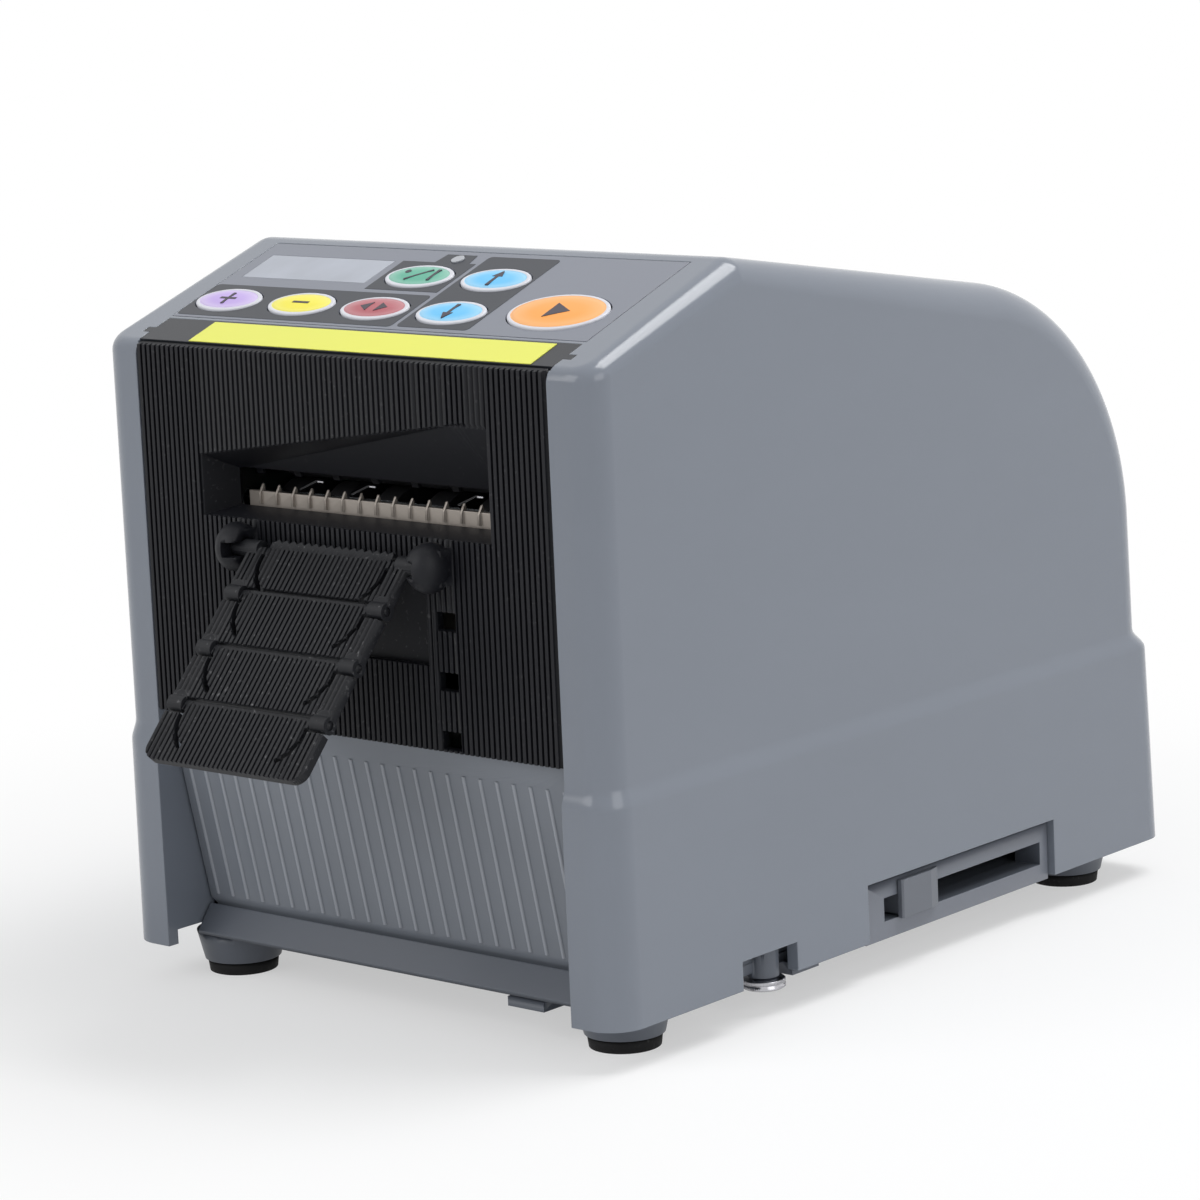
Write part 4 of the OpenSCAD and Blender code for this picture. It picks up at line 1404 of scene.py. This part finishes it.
@dataclass
class FoldingChute:
    """Four hinged, ribbed links that hang in front of the outlet."""

    links: int = 4

    def build(self) -> None:
        """Gives each link a smoothly shaded skin."""
        for i in range(1, self.links + 1):
            smooth_copy(f"chute_link_{i}", f"chute_{i}", "ribbed_black", Palette.CHUTE)


@dataclass
class BaseTray:
    """Tray under the cover, with the lower front panel, feet and side controls."""

    screw: Spot = (69.0, 55.5)
    screw_z: float = 5.7
    plate: Spot = (73.0, 86.0)
    panel_foot: Spot = (12.6, 18.2)
    panel_head: Spot = (2.9, 64.8)
    line_lift: float = 0.1
    under: tuple[Spot, ...] = ((55.0, 33.0), (47.0, 120.0), (47.0, 146.0))
    under_z: float = 9.6
    knurls: int = 72
    knurl_r: float = 4.9
    knurl_rims: Spot = (0.25, 1.45)
    knurl_h: float = 0.6

    def tray(self) -> None:
        """Gives the tray two tones: the side plate is as light as the cover."""
        tray = smooth_copy("base_tray", "base", "base_grey", Palette.BASE)
        paint(tray, Palette.BASE, Palette.SIDE_PLATE)
        corner = MACHINE @ Vector((*self.plate, 0))
        for face in tray.data.polygons:
            light = face.center.x > corner.x and face.center.y > corner.y
            face.material_index = 1 if light else 0

    def panel(self) -> None:
        """Paints the raised lines of the leaning front panel lighter, a painted highlight where they catch
        the light.
        """
        panel = smooth_copy("lower_front_panel", "base", "housing_grey", Palette.PANEL)
        paint(panel, Palette.PANEL, Palette.LINE_HIGHLIGHT)
        foot, head = Vector((0, *self.panel_foot)), Vector((0, *self.panel_head))
        outward = Vector((1, 0, 0)).cross(head - foot).normalized()
        inside = MACHINE.inverted()
        # Faces standing proud of the panel take the painted highlight.
        for face in panel.data.polygons:
            lift = (inside @ face.center - foot).dot(outward)
            face.material_index = 1 if lift > self.line_lift else 0

    def build(self) -> None:
        """Dresses the tray and what hangs on it."""
        self.tray()
        self.panel()
        smooth_copy("side_slide", "slide", "base_grey", Palette.SLIDE)
        smooth_copy("thumb_screw", "adjuster", "bright_chrome", Palette.CHROME)
        smooth_copy("foot_pads", "base", "rubber_black", Palette.RUBBER)
        dress(Palette.STEEL, "hinge_pins", "base_screws")
        self.knurl()
        under = [(s * x, y, self.under_z) for s in (-1, 1) for x, y in self.under]
        steel = ("base", "plated_steel", Palette.STEEL)
        Hardware.SCREW.set_out("under_screws", *steel, under, (math.pi, 0, 0))

    def knurl(self) -> None:
        """Cuts fine ridges round both rims of the thumb screw."""
        ridge = Sketch(LOOSE)
        for low in self.knurl_rims:
            ridge.prism([(-0.3, -0.16), (0.12, 0), (-0.3, 0.16)], low, low + self.knurl_h)
        shape = ridge.mesh("ridge_shape")
        centre = MACHINE @ Vector((*self.screw, self.screw_z))
        radius = self.knurl_r * MM
        ridges = RINGS.run("thumb_knurl", self.knurls, radius, centre, shape, Palette.CHROME)
        enter(ridges, "adjuster", "bright_chrome")
        bpy.data.objects.remove(shape)


@dataclass
class RearPanel:
    """Power inlet and switch in the rear of the tray."""

    pivot: Point = (-17.0, 203.6, 30.5)
    lean: float = math.radians(-8)
    slope: float = math.radians(7.2)
    crest: float = 2.5
    ink: Spot = (-0.1, 0.04)
    ring: Spot = (1.5, 1.05)
    ring_z: float = -3.7

    def marks(self) -> None:
        """Prints the on and off signs on the two halves of the rocker."""
        rest = MACHINE @ Matrix.Translation(self.pivot) @ Matrix.Rotation(self.lean, 4, "X")
        rest = rest @ Matrix.Translation((0, self.crest, 0))
        sunk, proud = self.ink
        upper = Sketch(rest @ Matrix.Rotation(-self.slope, 4, "X"))
        upper.prism(doubled([(0.35, 2.2), (0.35, 5.2)]), sunk, proud, "y")
        lower = Sketch(rest @ Matrix.Rotation(self.slope, 4, "X"))
        wide, bore = self.ring
        rings = [(wide, proud), (wide, sunk), (bore, sunk), (bore, proud), (wide, proud)]
        lower.loft([[(x, h, z + self.ring_z) for x, z in oval(r, r, 32)] for r, h in rings], caps=False)
        for name, work in (("rocker_on", upper), ("rocker_off", lower)):
            enter(paint(work.mesh(name), Palette.WHITE_INK), "rocker", "ribbed_black")

    def build(self) -> None:
        """Dresses the inlet and the switch."""
        for node in ("power_inlet", "switch_frame"):
            smooth_copy(node, "base", "ribbed_black", Palette.RECESS)
        smooth_copy("switch_rocker", "rocker", "ribbed_black", Palette.RECESS)
        self.marks()


@dataclass
class FeedMechanism:
    """Frame plates, rollers, gears, motors and blades inside the housing."""

    plate: float = 52.0
    roller_y: float = 29.0
    feed_z: float = 107.8
    pinch_z: float = 125.2
    feed_motor: tuple[Spot, Spot] = ((53.6, 98.4), (38.3, 83.2))
    cutter_motor: tuple[Spot, Spot] = ((52.4, 137.5), (43.0, 127.8))
    post_x: float = 48.6
    post_ys: Point = (118.0, 132.0, 146.0)
    post_z: float = 14.0
    board_x: float = -58.0
    pin_y: float = 99.5
    pin_pitch: float = 1.27
    pin_count: int = 9
    pin_zs: Spot = (42.5, 57.8)
    bit_ys: tuple[float, ...] = (96.0, 101.0, 106.0, 111.0, 146.0, 151.0)
    bit_zs: tuple[float, ...] = (21.0, 25.5, 30.0, 34.5)

    def fasteners(self) -> None:
        """Sets out motor screws, post screws and shaft clips."""
        out, back = (0, math.pi / 2, 0), (0, -math.pi / 2, 0)
        steel = ("base", "plated_steel", Palette.STEEL)
        left = [(-self.plate, *spot) for spot in self.feed_motor]
        Hardware.SCREW.set_out("feed_motor_screws", *steel, left, back)
        right = [(self.plate, *spot) for spot in self.cutter_motor]
        Hardware.SCREW.set_out("cutter_motor_screws", *steel, right, out)
        posts = [(x, y, self.post_z) for x in (-self.post_x, self.post_x) for y in self.post_ys]
        Hardware.SCREW.set_out("post_screws", *steel, posts)
        clips = (
            ("feed_clip", "feed_roller", self.plate, self.feed_z, out),
            ("pinch_clip_right", "pinch_roller", self.plate, self.pinch_z, out),
            ("pinch_clip_left", "pinch_roller", -self.plate, self.pinch_z, back),
        )
        for name, body, x, z, turn in clips:
            Hardware.CLIP.set_out(name, body, "plated_steel", Palette.BLADE, [(x, self.roller_y, z)], turn)

    def board_parts(self) -> None:
        """Sets pins round the controller and small parts over the board."""
        out = (math.pi / 2, 0, math.pi / 2)
        ys = [self.pin_y + self.pin_pitch * i for i in range(self.pin_count)]
        pins = [(self.board_x, y, z) for z in self.pin_zs for y in ys]
        Hardware.PIN.set_out("board_pins", "base", "board_green", Palette.BLADE, pins, out)
        bits = [(self.board_x, y, z) for y in self.bit_ys for z in self.bit_zs]
        Hardware.CHIP.set_out("board_bits", "base", "board_green", Palette.CHIP, bits, out)

    def build(self) -> None:
        """Dresses the mechanism."""
        dress(Palette.STEEL, "frame_plate_left", "frame_plate_right", "cross_rods", "feed_shaft",
              "pinch_shaft", "cutter_shaft", "blade_carrier", "reel_axle")
        dress(Palette.BASE, "reel_post_left", "reel_post_right")
        dress(Palette.BLADE, "upper_blade")
        dress(Palette.MOTOR, "feed_motor", "cutter_motor")
        dress(Palette.NYLON, "feed_gear", "cutter_gear")
        dress(Palette.BRASS, "feed_pinion", "cutter_pinion")
        dress(Palette.ROLLER, "feed_rings", "pinch_sleeve")
        dress(Palette.BOARD, "main_board")
        self.fasteners()
        self.board_parts()


@dataclass
class TapeReel:
    """Empty reel that carries the tape roll."""

    def build(self) -> None:
        """Dresses the reel."""
        dress(Palette.REEL, "reel_core", "reel_flanges")


@dataclass
class Studio:
    """Pale floor, soft lights and the camera of the reference view."""

    azimuth: float = 41.1578
    elevation: float = 10.4943
    roll: float = -2.4971
    eye: Point = (643.0, -734.301, 263.027)
    lens: float = 127.048
    sensor: float = 36.0
    floor_half: float = 6.0
    floor_tone: float = 0.9

    def camera(self) -> None:
        """Sets up the camera."""
        a, e, r = (math.radians(v) for v in (self.azimuth, self.elevation, self.roll))
        back = Vector((math.sin(a) * math.cos(e), -math.cos(a) * math.cos(e), math.sin(e)))
        right = (-back).cross(Vector((0, 0, 1))).normalized()
        up = right.cross(-back)
        across = math.cos(r) * right + math.sin(r) * up
        rise = -math.sin(r) * right + math.cos(r) * up
        data = bpy.data.cameras.new("camera")
        data.lens, data.sensor_width = self.lens, self.sensor
        data.clip_start, data.clip_end = 0.05, 20
        obj = bpy.data.objects.new("camera", data)
        bpy.context.collection.objects.link(obj)
        turn = Matrix((across, rise, back)).transposed().to_4x4()
        obj.matrix_world = Matrix.Translation(Vector(self.eye) * MM) @ turn
        bpy.context.scene.camera = obj

    def backdrop(self, wires: Wiring, shown: bpy.types.NodeSocket,
                 plain: bpy.types.NodeSocket) -> bpy.types.NodeSocket:
        """Mixes a white backdrop in for camera, glossy and transmission rays.

        Args:
            wires: the tree's wiring.
            shown: shader that those rays see.
            plain: shader for all other rays.

        Returns:
            The mixed shader's socket.
        """
        path = wires.add("ShaderNodeLightPath").outputs
        seen = wires.math("MAXIMUM", path["Is Camera Ray"], path["Is Glossy Ray"])
        seen = wires.math("MAXIMUM", seen, path["Is Transmission Ray"])
        mix = wires.add("ShaderNodeMixShader")
        wires.join(seen, mix.inputs[0])
        wires.join(plain, mix.inputs[1])
        wires.join(shown, mix.inputs[2])
        return mix.outputs[0]

    def world(self) -> None:
        """Lights the scene evenly, with a white backdrop."""
        world = bpy.data.worlds.new("studio")
        world.use_nodes = True
        bpy.context.scene.world = world
        wires = Wiring(world.node_tree)
        world.node_tree.nodes.clear()
        white = wires.add("ShaderNodeBackground", Strength=1.0, Color=(1, 1, 1, 1))
        fill = wires.add("ShaderNodeBackground", Strength=0.38, Color=(0.96, 0.98, 1, 1))
        target = wires.add("ShaderNodeOutputWorld")
        wires.join(self.backdrop(wires, white.outputs[0], fill.outputs[0]), target.inputs["Surface"])

    def lamp(self, name: str, place: Sequence[float], aim: Sequence[float], size: Spot, power: float) -> None:
        """Hangs a soft box.

        Args:
            name: its name.
            place: its centre in metres.
            aim: the point that it faces.
            size: width and height in metres.
            power: watts.
        """
        data = bpy.data.lights.new(name, "AREA")
        data.shape, data.size, data.size_y, data.energy = "RECTANGLE", size[0], size[1], power
        obj = bpy.data.objects.new(name, data)
        bpy.context.collection.objects.link(obj)
        gaze = Vector(aim) - Vector(place)
        obj.matrix_world = Matrix.Translation(place) @ gaze.to_track_quat("-Z", "Y").to_matrix().to_4x4()

    def floor(self) -> None:
        """Lays a pale floor that turns white with distance and keeps the shadow."""
        data = bpy.data.meshes.new("floor")
        half, tone = self.floor_half, self.floor_tone
        corners = [(-half, -half, 0), (half, -half, 0), (half, half, 0), (-half, half, 0)]
        data.from_pydata(corners, [], [(0, 1, 2, 3)])
        obj = bpy.data.objects.new("floor", data)
        bpy.context.collection.objects.link(obj)
        material = bpy.data.materials.new("floor_white")
        material.use_nodes = True
        wires = Wiring(material.node_tree)
        shader = material.node_tree.nodes["Principled BSDF"]
        shader.inputs["Base Color"].default_value = (tone, tone, tone, 1)
        shader.inputs["Roughness"].default_value = 0.9
        shader.inputs["Specular IOR Level"].default_value = 0.0
        far = wires.add("ShaderNodeVectorMath", operation="LENGTH")
        wires.join(wires.add("ShaderNodeTexCoord").outputs["Object"], far.inputs[0])
        spread = wires.add("ShaderNodeMapRange", interpolation_type="SMOOTHSTEP", From_Min=0.1, From_Max=0.34,
                           To_Min=0.5, To_Max=1.0)
        wires.join(far.outputs["Value"], spread.inputs["Value"])
        glow = wires.add("ShaderNodeEmission", Color=(1, 1, 1, 1), Strength=1.0)
        blend = wires.add("ShaderNodeMixShader")
        wires.join(spread.outputs["Result"], blend.inputs[0])
        wires.join(shader.outputs[0], blend.inputs[1])
        wires.join(glow.outputs[0], blend.inputs[2])
        target = material.node_tree.nodes["Material Output"]
        wires.join(self.backdrop(wires, blend.outputs[0], shader.outputs[0]), target.inputs["Surface"])
        data.materials.append(material)

    def build(self) -> None:
        """Builds the whole studio."""
        scene = bpy.context.scene
        scene.view_settings.view_transform = "Standard"
        self.camera()
        self.world()
        self.floor()
        self.lamp("overhead", (0.34, 0.33, 1.05), (0, 0, 0.12), (0.62, 0.6), 8.0)
        self.lamp("front_fill", (-0.5, -1.3, 0.9), (0, 0, 0.1), (1.2, 0.9), 8.0)
        self.lamp("side_fill", (1.5, -0.2, 0.6), (0, 0, 0.1), (0.9, 0.9), 4.5)


def main() -> None:
    """Builds the pieces in order and closes the scene."""
    logging.basicConfig(level=logging.INFO, format="%(message)s")
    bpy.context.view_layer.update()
    deck = ControlDeck()
    keys = deck.build()
    HousingCover().build(keys)
    OutletFront().build()
    FoldingChute().build()
    BaseTray().build()
    RearPanel().build()
    FeedMechanism().build()
    TapeReel().build()
    Studio().build()


if __name__ == "__main__":
    main()
